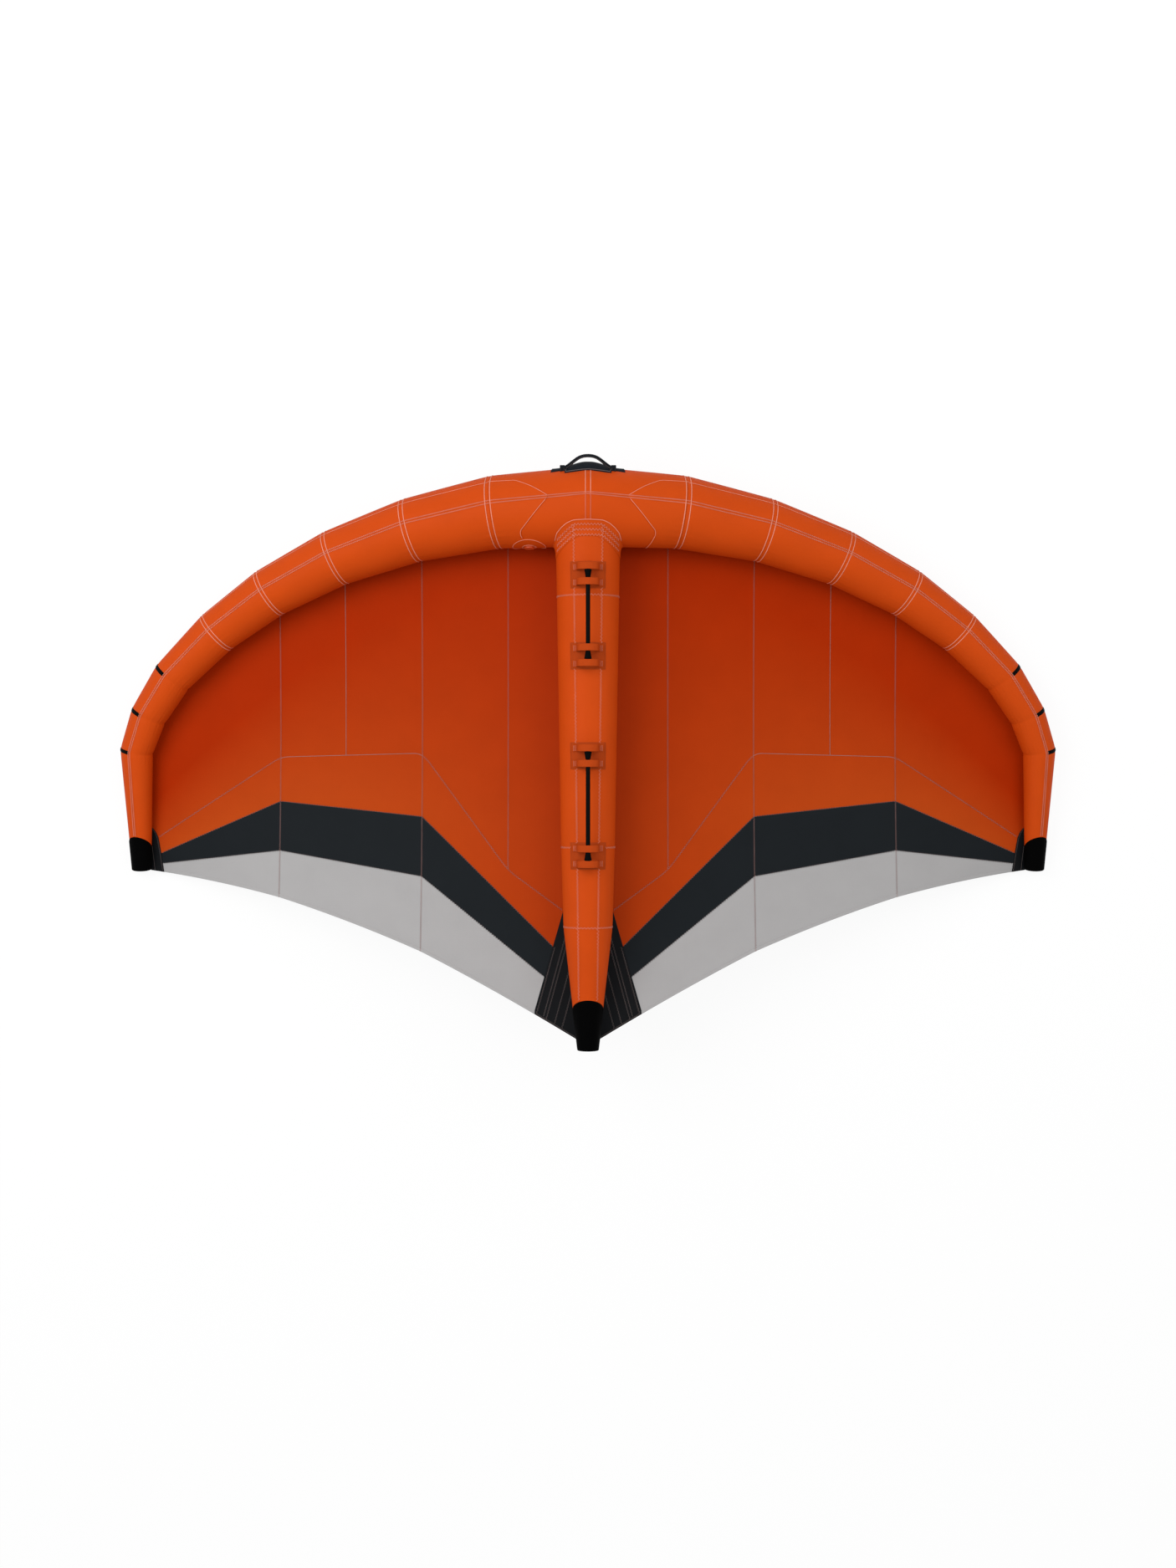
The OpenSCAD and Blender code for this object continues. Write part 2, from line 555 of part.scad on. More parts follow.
// Conical stops between the two arches of a pad, wide end towards the end of the bar
module handle_stops(h) {
    long = arch_pitch - arch_w - 2;
    color(BLACK) for (end = [0, 1]) {
        translate([0, PADS[2 * h + end], bar_z(h)]) rotate([end == 0 ? -90 : 90, 0, 0]) difference() {
            translate([0, 0, -long / 2]) cylinder(d1 = bar_d + 1.6, d2 = stop_d, h = long, $fn = 48);
            translate([0, 0, -long]) cylinder(r = bar_r + 0.05, h = 2 * long, $fn = 48);
        }
    }
}

// ---- nose handle -------------------------------------------------------------------------------------
// Padded base between the keepers, thick in the middle, with a flat tail to each side
BASE_HALF = keeper_x - 12;
module nose_handle_base() {
    angles = [-30, -15, 0, 15, 30];
    round_share = [0, 0.7, 1, 0.75, 0.15, 0];
    xs = [for (t = [-1, -0.75, -0.5, -0.25, 0, 0.25, 0.5, 0.75, 1]) t * BASE_HALF];
    function rim(x) = 32 + 4 * min(1, abs(x) / 60);
    function lay(x, a, off) = between(LE[0], x < 0 ? mirror_frame(LE[1]) : LE[1], abs(x) / LE_AXIS[1].x, a, off);
    function crown(x, j) = pad_crown * (1 - pow(x / BASE_HALF, 2)) * round_share[j];
    top = [for (x = xs) [for (j = [0:5]) lay(x, j < 5 ? angles[j] : rim(x), FIT + BASE_T + crown(x, j))]];
    bottom = [for (x = xs) [for (j = [0:5]) lay(x, j < 5 ? angles[j] : rim(x), FIT)]];
    tail = [BASE_HALF + 0.5, BASE_HALF + 42];
    color(BLACK) {
        sheet(top, bottom);
        for (side = [-1, 1]) {
            ends = [for (k = [0, 1]) let (x = side * tail[side < 0 ? 1 - k : k])
                [LE[0], side > 0 ? LE[1] : mirror_frame(LE[1]), abs(x) / LE_AXIS[1].x, [-15, 0, 15, abs(x) > tail[0] ? 30 : 26]]];
            tube_patch(ends, FIT, FIT + BASE_T);
        }
    }
}
// Webbing sleeves that hold the turned-out ends of the loop
module nose_handle_keepers() {
    wide = 16;
    color(BLACK) both_sides() difference() {
        translate([keeper_x - wide / 2, 0, 0]) keeper_block(wide);
        translate([keeper_x - wide, LOOP_FOOT.y, LOOP_FOOT.z]) rotate([0, 90, 0])
            cylinder(r = loop_r + FIT, h = 2 * wide, $fn = 32);
        tube_solid([mirror_frame(LE[1]), LE[0], LE[1]], FIT + BASE_T + 0.2);
    }
}
module keeper_block(wide) {
    out = unit([0, LOOP_FOOT.y, LOOP_FOOT.z]);
    lean = atan2(out.z, out.y);
    translate([0, LOOP_FOOT.y, LOOP_FOOT.z]) rotate([lean, 0, 0]) union() {
        rotate([0, 90, 0]) cylinder(r = loop_r + 2.3, h = wide, $fn = 32);
        translate([0, -loop_r - 9, -loop_r - 2.3]) cube([wide, loop_r + 9, loop_d + 4.6]);
    }
}
// The bell-shaped cord: out of the keepers, up over the hand gap and back
LOOP_PATH = [[90, 0], [73, 0], [69, 0.07], [63, 0.22], [50, 0.5], [40, 0.69], [30, 0.84], [20, 0.94], [10, 0.985], [0, 1]];
module nose_handle_loop() {
    grow = keeper_x / 82;
    half = [for (p = LOOP_PATH) [p[0] * grow, p[1] * loop_h]];
    line = concat(half, [for (k = [len(half) - 2:-1:0]) [-half[k].x, half[k].y]]);
    m = len(line);
    function place(p) = [p.x, 0, 0] + LOOP_FOOT + p.y * LOOP_WAY;
    function heading(k) = unit(line[min(k + 1, m - 1)] - line[max(k - 1, 0)]);
    sideways = cross([1, 0, 0], LOOP_WAY);
    n = 12;
    points = [for (k = [0:m - 1]) let (d = heading(k), up = [-d.y, 0, 0] + d.x * LOOP_WAY)
        for (i = [0:n - 1]) place(line[k]) + loop_r * (cos(i * 30) * up + sin(i * 30) * sideways)];
    sides = [for (k = [0:m - 2], i = [0:n - 1])
        let (a = k * n + i, b = k * n + (i + 1) % n) each [[a, b, b + n], [a, b + n, a + n]]];
    color(BLACK) polyhedron(points, concat(sides, [[for (i = [n - 1:-1:0]) i]],
        [[for (i = [0:n - 1]) (m - 1) * n + i]]));
}

// ---- inflation valve ---------------------------------------------------------------------------------
valve_top = 4.2;         // top of the neck above the casing
neck_low = -7.6;
patch_r = 60;
hinge_x = 21.5;
hinge_r = 0.8;
hinge_h = valve_top + FIT + hinge_r;
module valve_patch() {
    angles = arc_angles(VALVE_ANGLE - 40, VALVE_ANGLE + 40);
    half = (patch_r + 5) / norm(LE_AXIS[1] - LE_AXIS[0]);
    color(ORANGE) intersection() {
        mirror([1, 0, 0]) tube_patch([for (t = [-half, half]) [LE[0], LE[1], valve_share + t, angles]],
            FIT, FIT + patch_t);
        at_valve() translate([0, 0, -patch_r]) difference() {
            cylinder(r = patch_r, h = 2 * patch_r, $fn = 64);
            translate([0, 0, -1]) cylinder(d = valve_neck_d + 1, h = 2 * patch_r + 2, $fn = 48);
        }
    }
}
// Neck with the flange that is welded inside the bladder
module valve_neck() {
    color(BLACK) at_valve() difference() {
        union() {
            translate([0, 0, neck_low]) cylinder(d = valve_neck_d, h = valve_top - neck_low, $fn = 48);
            translate([0, 0, neck_low]) cylinder(d = 2 * valve_neck_d, h = 1.5, $fn = 48);
        }
        translate([0, 0, neck_low - 1]) cylinder(d = valve_bore_d, h = valve_top - neck_low + 2, $fn = 48);
    }
}
module valve_ring() {
    color(BLACK) at_valve() difference() {
        union() {
            translate([0, 0, 1.4]) cylinder(d = valve_neck_d + 12, h = valve_top - 1.4, $fn = 48);
            translate([14, -4, 1.4]) cube([hinge_x - 14, 8, hinge_h - hinge_r - FIT - 1.4]);
        }
        translate([0, 0, -1]) cylinder(d = valve_neck_d + 0.1, h = 10, $fn = 48);
    }
}
module valve_flap() {
    color(FILM) at_valve() translate([0, 0, neck_low - 1.1]) cylinder(d = valve_bore_d + 4, h = 0.8, $fn = 48);
}
module valve_cap() {
    color(BLACK) at_valve() union() {
        translate([0, 0, valve_top + FIT]) cylinder(d = valve_neck_d + 6, h = 3.5, $fn = 48);
        translate([10, -3.5, valve_top + FIT]) cube([hinge_x - 10, 7, 2 * hinge_r]);
        translate([hinge_x, 3.5, hinge_h]) rotate([90, 0, 0]) cylinder(r = hinge_r, h = 7, $fn = 32);
    }
}

lay_down() le_casing_centre_left();
lay_down() le_casing_centre_right();
for (k = [2:9]) lay_down() le_casing(k);
lay_down() le_bladder();
for (k = [1:3]) lay_down() strut_casing(k);
lay_down() strut_casing_tail();  // strut_casing_4
lay_down() strut_bladder();
lay_down() one_pump_connector();
lay_down() junction_collar();
lay_down() nose_reinforcements();
lay_down() seam_guard_bands();
lay_down() tip_caps();
lay_down() strut_cap();
for (k = [1:5]) lay_down() canopy_front(k);
for (k = [1:3]) lay_down() canopy_rear(k);
for (k = [1:3]) lay_down() canopy_stripe(k);
for (k = [1:3]) lay_down() canopy_edge(k);
lay_down() corner_reinforcements();
lay_down() tip_reinforcements();
lay_down() trailing_edge_hem();
lay_down() handle_pads();
lay_down() arches(0);  // front_arches
lay_down() arches(1);  // rear_arches
lay_down() handle_bar(0);  // front_handle_bar
lay_down() handle_stops(0);  // front_handle_stops
lay_down() handle_bar(1);  // rear_handle_bar
lay_down() handle_stops(1);  // rear_handle_stops
lay_down() nose_handle_base();
lay_down() nose_handle_keepers();
lay_down() nose_handle_loop();
lay_down() valve_patch();
lay_down() valve_neck();
lay_down() valve_ring();
lay_down() valve_flap();
lay_down() valve_cap();
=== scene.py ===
import json
import math

import bmesh
import bpy
import numpy as np
from mathutils import Matrix, Vector
from mathutils.bvhtree import BVHTree


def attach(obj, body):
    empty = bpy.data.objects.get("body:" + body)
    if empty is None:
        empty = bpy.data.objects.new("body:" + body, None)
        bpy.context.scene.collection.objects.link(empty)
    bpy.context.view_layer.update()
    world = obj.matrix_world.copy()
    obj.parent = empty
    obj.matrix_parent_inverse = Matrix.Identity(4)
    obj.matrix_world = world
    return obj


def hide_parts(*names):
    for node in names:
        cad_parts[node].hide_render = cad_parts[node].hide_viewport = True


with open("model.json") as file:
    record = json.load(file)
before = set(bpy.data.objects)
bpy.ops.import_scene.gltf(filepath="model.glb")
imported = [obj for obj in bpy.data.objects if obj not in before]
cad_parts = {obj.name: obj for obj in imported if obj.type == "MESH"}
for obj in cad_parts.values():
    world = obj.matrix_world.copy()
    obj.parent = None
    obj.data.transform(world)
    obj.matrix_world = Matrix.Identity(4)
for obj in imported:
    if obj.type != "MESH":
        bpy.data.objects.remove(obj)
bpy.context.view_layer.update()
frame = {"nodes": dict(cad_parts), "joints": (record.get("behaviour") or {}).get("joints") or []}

# A hand-held inflatable wing. Everything is built in wing axes: X along the span, Y towards the
# nose, Z out of the handle side, origin on the leading edge axis at the middle of the nose.
# to_row() lays it on the ground as the frame has it. Lengths are in metres.

# ---- design sizes, as the frame was built
SPAN = 3.130
SWEEP = 1.178
DROP = 0.372
STRUT_LENGTH = 1.745
LE_CENTRE_D = 0.252
LE_TIP_D = 0.063
STRUT_FRONT_D = 0.206
STRUT_TAIL_D = 0.066
STRUT_CAP_L = 0.137
CAP_T = 0.0018           # cloth of the caps on the tube ends
CAMBER = 0.05
TE_HOLLOW = 0.007        # how far the trailing edge is cut in between its corners
BAR_D = 0.014
BAR_GAP = 0.036          # hand room under a bar
STOP_D = 0.024           # a stop's wide end
ARCH_W = 0.022
ARCH_PITCH = 0.049
ARCH_R = 0.042
WEBBING_T = 0.0024
PAD_L = 0.087
PAD_W = 0.112
PAD_T = 0.002
PADS = (-0.2285, -0.4855, -0.8025, -1.121)
LOOP_D = 0.011
KEEPER_X = 0.082         # where the nose handle's keepers stand, from the middle
LOOP_H = 0.050
LOOP_LEAN = math.radians(50)
PAD_CROWN = 0.014
FOOT_ANGLE = 25          # angle round the tube at which the keepers stand
VALVE_SHARE = 0.653      # where the valve is, between the nose and joint 1
VALVE_ANGLE = 172.5
PATCH_R = 0.060          # the valve's patch
FIT = 0.0003             # gap between parts

# Joints of the leading edge: shares of half the span, the sweep, the drop and the taper
LE_X = (0, 0.1985, 0.3795, 0.5474, 0.6951, 0.8154, 0.9155, 0.9713, 1, 0.9987)
LE_Y = (0, 0.0114, 0.0558, 0.1272, 0.2213, 0.3292, 0.4557, 0.5647, 0.6648, 1)
LE_Z = (0, 0.1060, 0.2427, 0.3847, 0.5100, 0.6202, 0.6831, 0.7427, 0.7976, 1)
LE_TAPER = (0, 0.093, 0.231, 0.356, 0.463, 0.560, 0.649, 0.712, 0.772, 1)
# Joints of the strut: shares of its length and of its taper
STRUT_AT = (0.023, 0.167, 0.6275, 0.774, 0.924, 1)
STRUT_TAPER = (-0.03, 0.047, 0.24, 0.35, 0.775, 1)
LAST = len(LE_X) - 1
CAD_SIDES = 24


# ---- small vector tools
def unit(v):
    v = np.asarray(v, float)
    return v / np.maximum(np.linalg.norm(v, axis=-1, keepdims=True), 1e-12)


def cosd(a):
    return np.cos(np.radians(a))


def sind(a):
    return np.sin(np.radians(a))


# ---- leading edge
LE_R = np.array([(LE_CENTRE_D - (LE_CENTRE_D - LE_TIP_D) * t) / 2 for t in LE_TAPER])
HALF_AXIS = SPAN / 2 - LE_R[LAST - 1]
LE_AXIS = np.array([[x * HALF_AXIS, -y * SWEEP, -z * DROP] for x, y, z in zip(LE_X, LE_Y, LE_Z)])
LE_WAY = unit(LE_AXIS[1:] - LE_AXIS[:-1])
LE_NORMAL = np.array([[1, 0, 0]] + [unit(LE_WAY[k - 1] + LE_WAY[k]) for k in range(1, LAST)] + [LE_WAY[-1]])
LE_E1 = unit(np.cross([0, 0, 1], LE_NORMAL))
LE_E2 = np.cross(LE_NORMAL, LE_E1)
LE_STRETCH = np.array([1 / (LE_NORMAL[k] @ LE_WAY[min(k, LAST - 1)]) for k in range(LAST + 1)])
LE_LENGTH = np.linalg.norm(LE_AXIS[1:] - LE_AXIS[:-1], axis=1)


def le_ring(k, angle, off):
    """Points on the ring at joint k, at angles in degrees from the front, over the crest."""
    r = LE_R[k] + off
    c, s = cosd(angle)[..., None], sind(angle)[..., None]
    return LE_AXIS[k] + np.asarray(r)[..., None] * (c * LE_STRETCH[k] * LE_E1[k] + s * LE_E2[k])


def spread_out(*values):
    """The values as arrays of one shape."""
    return np.broadcast_arrays(*(np.asarray(v, float) for v in values))


def le_point(u, angle, off=0.0):
    """A point on the right half of the tube: u runs from 0 at the nose to 9 at the tip."""
    u, angle, off = spread_out(u, angle, off)
    out = np.zeros(u.shape + (3,))
    k = np.clip(np.floor(u).astype(int), 0, LAST - 1)
    for seg in range(LAST):
        m = k == seg
        if m.any():
            t = (u[m] - seg)[:, None]
            out[m] = (1 - t) * le_ring(seg, angle[m], off[m]) + t * le_ring(seg + 1, angle[m], off[m])
    return out


def le_out(u, angle):
    return unit(le_point(u, angle, 0.01) - le_point(u, angle, 0.0))


# ---- strut
STRUT_Y = np.array([-s * STRUT_LENGTH for s in STRUT_AT])
STRUT_R = np.array([(STRUT_FRONT_D - (STRUT_FRONT_D - STRUT_TAIL_D) * s) / 2 for s in STRUT_TAPER])


def strut_r(y):
    return np.interp(-np.asarray(y, float), -STRUT_Y, STRUT_R)


def strut_point(y, angle, off=0.0):
    """A point on the strut: angle in degrees from the right side, over the crest."""
    y, angle, off = spread_out(y, angle, off)
    r = strut_r(y) + off
    return np.stack([r * cosd(angle), y, r * sind(angle)], -1)


def strut_out(y, angle):
    y, angle = spread_out(y, angle)
    return np.stack([cosd(angle), 0 * y, sind(angle)], -1)


# ---- canopy surface
def polygon_radius(r, angle):
    step = 360 / CAD_SIDES
    return r * cosd(step / 2) / cosd(angle % step - step / 2)


ATTACH_ANGLE = 240
ATTACH = np.array([le_ring(k, np.array(float(ATTACH_ANGLE)),
                           np.array(polygon_radius(r, ATTACH_ANGLE) - r + 0.0005))
                   for k, r in enumerate(LE_R[:LAST])])
TIP_X = ATTACH[-1, 0]
# Cross seams of the canopy, from the middle outward: B, A, C and D
SEAM_B = TIP_X * 0.1765
SEAM_A = TIP_X * 0.3696
SEAM_C = TIP_X * 0.5433
SEAM_D = TIP_X * 0.6921
TE_X = np.array([0, SEAM_A, SEAM_D, TIP_X])
TE_Y = np.array([-0.9969 * STRUT_LENGTH, -0.825 * STRUT_LENGTH, -1.0766 * SWEEP, -1.0047 * SWEEP])
TIP_UNDER = math.sqrt((LE_TIP_D / 2) ** 2 - (LE_AXIS[LAST, 0] - TIP_X) ** 2)
TE_Z = np.array([-STRUT_TAIL_D / 2 - CAP_T - 0.0007, -0.336 * DROP, -0.645 * DROP, -DROP - TIP_UNDER - 0.007])
COLLAR_END = LE_CENTRE_D / 2 + 0.040
CAP_MOUTH = STRUT_LENGTH - STRUT_CAP_L


def attach_y(x):
    return np.interp(x, ATTACH[:, 0], ATTACH[:, 1])


def attach_z(x):
    return np.interp(x, ATTACH[:, 0], ATTACH[:, 2])


def te_y(x):
    k = np.clip(np.searchsorted(TE_X, x, side="right") - 1, 0, 2)
    t = (x - TE_X[k]) / (TE_X[k + 1] - TE_X[k])
    return np.interp(x, TE_X, TE_Y) + TE_HOLLOW * 4 * t * (1 - t)


def te_z(x):
    return np.interp(x, TE_X, TE_Z)


def loose_z(x, y):
    chord = attach_y(x) - te_y(x)
    s = (attach_y(x) - y) / chord
    bend = CAMBER * (1 - (np.abs(2 * x / TIP_X - 0.75) / 1.25) ** 2)
    return (1 - s) * attach_z(x) + s * te_z(x) - bend * chord * 4 * s * (1 - s)


def strut_layers(y):
    return np.interp(-y, [COLLAR_END + 0.010, COLLAR_END + 0.060, CAP_MOUTH - 0.130, CAP_MOUTH - 0.020],
                     [0.0011, 0, 0, 0.0018])


def canopy_z(x, y):
    x, y = spread_out(x, y)
    zero = np.zeros_like(x)
    under = -strut_r(y) - 0.0005 - strut_layers(y)
    held = np.where(y > -LE_CENTRE_D / 2, np.minimum(attach_z(zero), under), under)
    grip = np.exp(-(x / (1.3 * STRUT_FRONT_D)) ** 2)
    return loose_z(x, y) + grip * (held - loose_z(zero, np.maximum(y, te_y(zero))))


SEAM_ROUND = 0.022       # how far the panel seam's corners are rounded


def stripe_top(x):
    return np.interp(x, [0, SEAM_A, SEAM_D, TIP_X],
                     [-0.878 * STRUT_LENGTH, -0.573 * STRUT_LENGTH, -0.8061 * SWEEP, -0.97 * SWEEP])


def sharp_panel_seam(x):
    return stripe_top(x) + np.interp(x, [0, SEAM_B, SEAM_A, SEAM_D, TIP_X], [0.169, 0.103, 0.210, 0.148, 0.051])


def panel_seam(x):
    """The seam between the orange panels, rounded where it meets the cross seams."""
    x = np.asarray(x, float)
    reach = SEAM_ROUND * np.clip(np.minimum(x, TIP_X - x) / SEAM_ROUND, 0, 1)
    steps = reach[..., None] * np.linspace(-1, 1, 7)
    return sharp_panel_seam(x[..., None] + steps).mean(-1)


def stripe_bottom(x):
    return np.interp(x, [0, SEAM_A, SEAM_D, TIP_X],
                     [-0.935 * STRUT_LENGTH, -0.6855 * STRUT_LENGTH, -0.9452 * SWEEP, -0.9895 * SWEEP])


# ---- from wing axes to the frame's
JOINTS = {j["name"]: j for j in frame["joints"]}
_back = JOINTS["front_handle_sway"]["axis"]
PITCH = math.atan2(_back[2], -_back[1])
BAR_R = BAR_D / 2


def bar_z(h):
    return float(strut_r(PADS[2 * h])) + PAD_T + BAR_GAP + BAR_R


def hinge_z(h):
    return bar_z(h) + BAR_R + FIT - ARCH_R


def pitched(p):
    p = np.asarray(p, float)
    c, s = math.cos(PITCH), math.sin(PITCH)
    return np.stack([p[..., 0], p[..., 1] * c + p[..., 2] * s, p[..., 2] * c - p[..., 1] * s], -1)


MOVE = np.array(JOINTS["front_handle_sway"]["pos_m"]) - pitched([0, (PADS[0] + PADS[1]) / 2, hinge_z(0)])


def to_row(p):
    return pitched(p) + MOVE


# ---- meshes
def mirror_x(p):
    q = np.array(p, float)
    q[..., 0] *= -1
    return q


class Build:
    """Collects vertices, faces and UVs in wing axes, and makes one piece of them."""

    def __init__(self):
        self.points, self.faces, self.uvs, self.mats = [], [], [], []
        self.count = 0

    def grid(self, p, uv=None, closed_v=False, flip=False, mat=0):
        """A grid of points, n rows of m columns. uv holds one pair for each point."""
        n, m = p.shape[:2]
        base = self.count
        self.points.append(p.reshape(-1, 3))
        self.count += n * m
        i, j = np.meshgrid(np.arange(n - 1), np.arange(m if closed_v else m - 1), indexing="ij")
        i2, j2 = i + 1, (j + 1) % m
        quad = np.stack([i * m + j, i2 * m + j, i2 * m + j2, i * m + j2], -1).reshape(-1, 4)
        if flip:
            quad = quad[:, ::-1]
        self.faces.append(quad + base)
        if uv is None:
            uv = np.stack(np.meshgrid(np.linspace(0, 1, n), np.linspace(0, 1, m), indexing="ij"), -1)
        flat = uv.reshape(-1, 2)
        ends = flat[quad]
        if closed_v:
            wrap = (j2 == 0).reshape(-1)
            sheet = flat.reshape(n, m, 2)
            seam = sheet[:, -1] + (sheet[:, -1] - sheet[:, -2])
            near, far = (0, 1) if flip else (3, 2)
            ends[wrap, far] = seam[i2.reshape(-1)[wrap]]
            ends[wrap, near] = seam[i.reshape(-1)[wrap]]
        self.uvs.append(ends.reshape(-1, 2))
        self.mats.append(np.full(len(quad), mat))

    def sheet(self, p, **more):
        """A grid whose UVs run in metres along its rows and columns."""
        self.grid(p, uv=uv_metres(p), **more)

    def cap(self, ring, flip=False):
        """A fan that closes a ring of points."""
        n = len(ring)
        base = self.count
        self.points.append(np.vstack([ring, ring.mean(0)]))
        self.count += n + 1
        i = np.arange(n)
        tri = np.stack([i, (i + 1) % n, np.full(n, n), np.full(n, n)], -1)
        if flip:
            tri = tri[:, [1, 0, 2, 3]]
        self.faces.append(tri + base)
        self.uvs.append(np.zeros((n * 4, 2)))
        self.mats.append(np.zeros(n, int))

    def mirrored(self):
        """Adds the left half, as the mirror of what is there."""
        pts = np.vstack(self.points)
        base = self.count
        self.points.append(mirror_x(pts))
        self.count += len(pts)
        for quad, uv, mat in list(zip(self.faces, self.uvs, self.mats)):
            turned = quad[:, ::-1] + base
            tri = quad[:, 2] == quad[:, 3]
            turned[tri] = quad[tri][:, [1, 0, 2, 3]] + base
            u = uv.reshape(-1, 4, 2)[:, ::-1].copy()
            self.faces.append(turned)
            self.uvs.append(u.reshape(-1, 2))
            self.mats.append(mat)
        return self

    def piece(self, name, material, slot, *nodes, body="wing", weld=0.0, ground=False, thick=None):
        """Makes the piece, which stands for the CAD nodes that are named. The canopy has a material for each
        zone. ground: stitches may lie on this piece. thick: a thickness, and to which side it goes."""
        pts = to_row(np.vstack(self.points))
        quads = np.vstack(self.faces)
        if ground:
            GROUND.append((np.vstack(self.points), quads))
        uv = np.vstack(self.uvs).reshape(-1, 4, 2)
        mats = np.concatenate(self.mats)
        faces, coords = [], []
        for f, c in zip(quads.tolist(), uv.tolist()):
            if f[2] == f[3]:
                faces.append(f[:3])
                coords += c[:3]
            else:
                faces.append(f)
                coords += c
        mesh = bpy.data.meshes.new(name)
        mesh.from_pydata(pts.tolist(), [], faces)
        layer = mesh.uv_layers.new(name="metres")
        layer.data.foreach_set("uv", np.array(coords, np.float32).ravel())
        mesh.polygons.foreach_set("material_index", mats.astype(np.int32))
        mesh.polygons.foreach_set("use_smooth", np.full(len(faces), True))
        for m in material if isinstance(material, list) else [material]:
            mesh.materials.append(m)
        if weld:
            bm = bmesh.new()
            bm.from_mesh(mesh)
            bmesh.ops.remove_doubles(bm, verts=bm.verts, dist=weld)
            bm.to_mesh(mesh)
            bm.free()
        mesh.update()
        obj = bpy.data.objects.new(name, mesh)
        bpy.context.scene.collection.objects.link(obj)
        if thick:
            solid = obj.modifiers.new("thickness", "SOLIDIFY")
            solid.thickness, solid.offset = thick
        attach(obj, body)
        if nodes:
            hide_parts(*nodes)
        return obj


GROUND = []


def drape(x, y, off=0.0004):
    """Lays points given in plan on the pieces below them, with the surface's normals."""
    points, quads, count = [], [], 0
    for p, q in GROUND:
        points.append(p)
        quads.append(q + count)
        count += len(p)
    faces = [f[:3] if f[2] == f[3] else f for f in np.vstack(quads).tolist()]
    tree = BVHTree.FromPolygons(np.vstack(points).tolist(), faces)
    spots, ways = [], []
    for px, py in zip(*spread_out(x, y)):
        spot, way = tree.ray_cast(Vector((px, py, 1.0)), Vector((0, 0, -1.0)))[:2]
        spots.append(spot)
        ways.append(way if way.z > 0 else -way)
    spots, ways = np.array(spots), unit(np.array(ways))
    return spots + ways * off, ways


def polyline(corners, step=0.004):
    """Evenly spaced points, as rows of coordinates, along straight runs between corners."""
    return resample([np.array(corners, float)], step)[0].T


def uv_metres(p):
    """UVs that run in metres along the rows and columns of a grid of points."""
    u = np.zeros(p.shape[:2])
    v = np.zeros(p.shape[:2])
    u[1:] = np.cumsum(np.linalg.norm(p[1:] - p[:-1], axis=-1), 0)
    v[:, 1:] = np.cumsum(np.linalg.norm(p[:, 1:] - p[:, :-1], axis=-1), 1)
    return np.stack([u, v], -1)


def resample(path, step):
    """Points at equal steps along a polyline, given with one or more arrays that follow it."""
    arrays = [np.asarray(a, float) for a in path]
    d = np.concatenate([[0], np.cumsum(np.linalg.norm(np.diff(arrays[0], axis=0), axis=1))])
    n = max(2, int(round(d[-1] / step)) + 1)
    t = np.linspace(0, d[-1], n)
    return [np.stack([np.interp(t, d, a[:, c]) for c in range(a.shape[1])], -1) for a in arrays]


def spokes(a, b, n):
    """Unit steps round a path at angles a, from b towards n."""
    return np.cos(a)[None, :, None] * b[:, None] + np.sin(a)[None, :, None] * n[:, None]


def tube(build, path, normals, radius, sides):
    """A round cord along a path."""
    p = np.asarray(path, float)
    t = unit(np.gradient(p, axis=0))
    n = unit(normals - (normals * t).sum(-1, keepdims=True) * t)
    b = np.cross(t, n)
    a = np.radians(np.arange(sides) * 360 / sides + 180 / sides)
    r = np.broadcast_to(np.asarray(radius, float), (len(p),))
    ring = p[:, None] + r[:, None, None] * spokes(a, b, n)
    build.sheet(ring, closed_v=True)
    build.cap(ring[0])
    build.cap(ring[-1], flip=True)


def stitch_frame(path, normals, step):
    """Even steps along a path, with the normal and the sideways direction at each."""
    p, n = resample((path, normals), step)
    n = unit(n)
    return p, n, np.cross(unit(np.gradient(p, axis=0)), n)


def straight_stitch(build, path, normals, width, lift=0.0004, height=0.0006):
    """A dense narrow line of thread, as a low rounded ribbon."""
    p, n, b = stitch_frame(path, normals, 0.012)
    across = np.array([-0.5, -0.25, 0.25, 0.5]) * width
    up = np.array([-0.3, 1.0, 1.0, -0.3]) * height + lift
    strip = p[:, None] + across[None, :, None] * b[:, None] + up[None, :, None] * n[:, None]
    build.sheet(strip, flip=True)


def zigzag_stitch(build, path, normals, width, period, radius, lift=0.0006):
    """A zigzag of thread along a path, three-sided."""
    p, n, b = stitch_frame(path, normals, period / 2)
    side = np.where(np.arange(len(p)) % 2 == 0, 0.5, -0.5)[:, None] * width
    z = p + side * b + lift * n
    a = np.radians([30, 150, 270])
    build.grid(z[:, None] + radius * spokes(a, b, n), closed_v=True)


# ---- materials
def linear(c):
    return tuple(v / 12.92 if v <= 0.04045 else ((v + 0.055) / 1.055) ** 2.4 for v in c)


def tint(c, k):
    return tuple(min(1, v * k) for v in c)


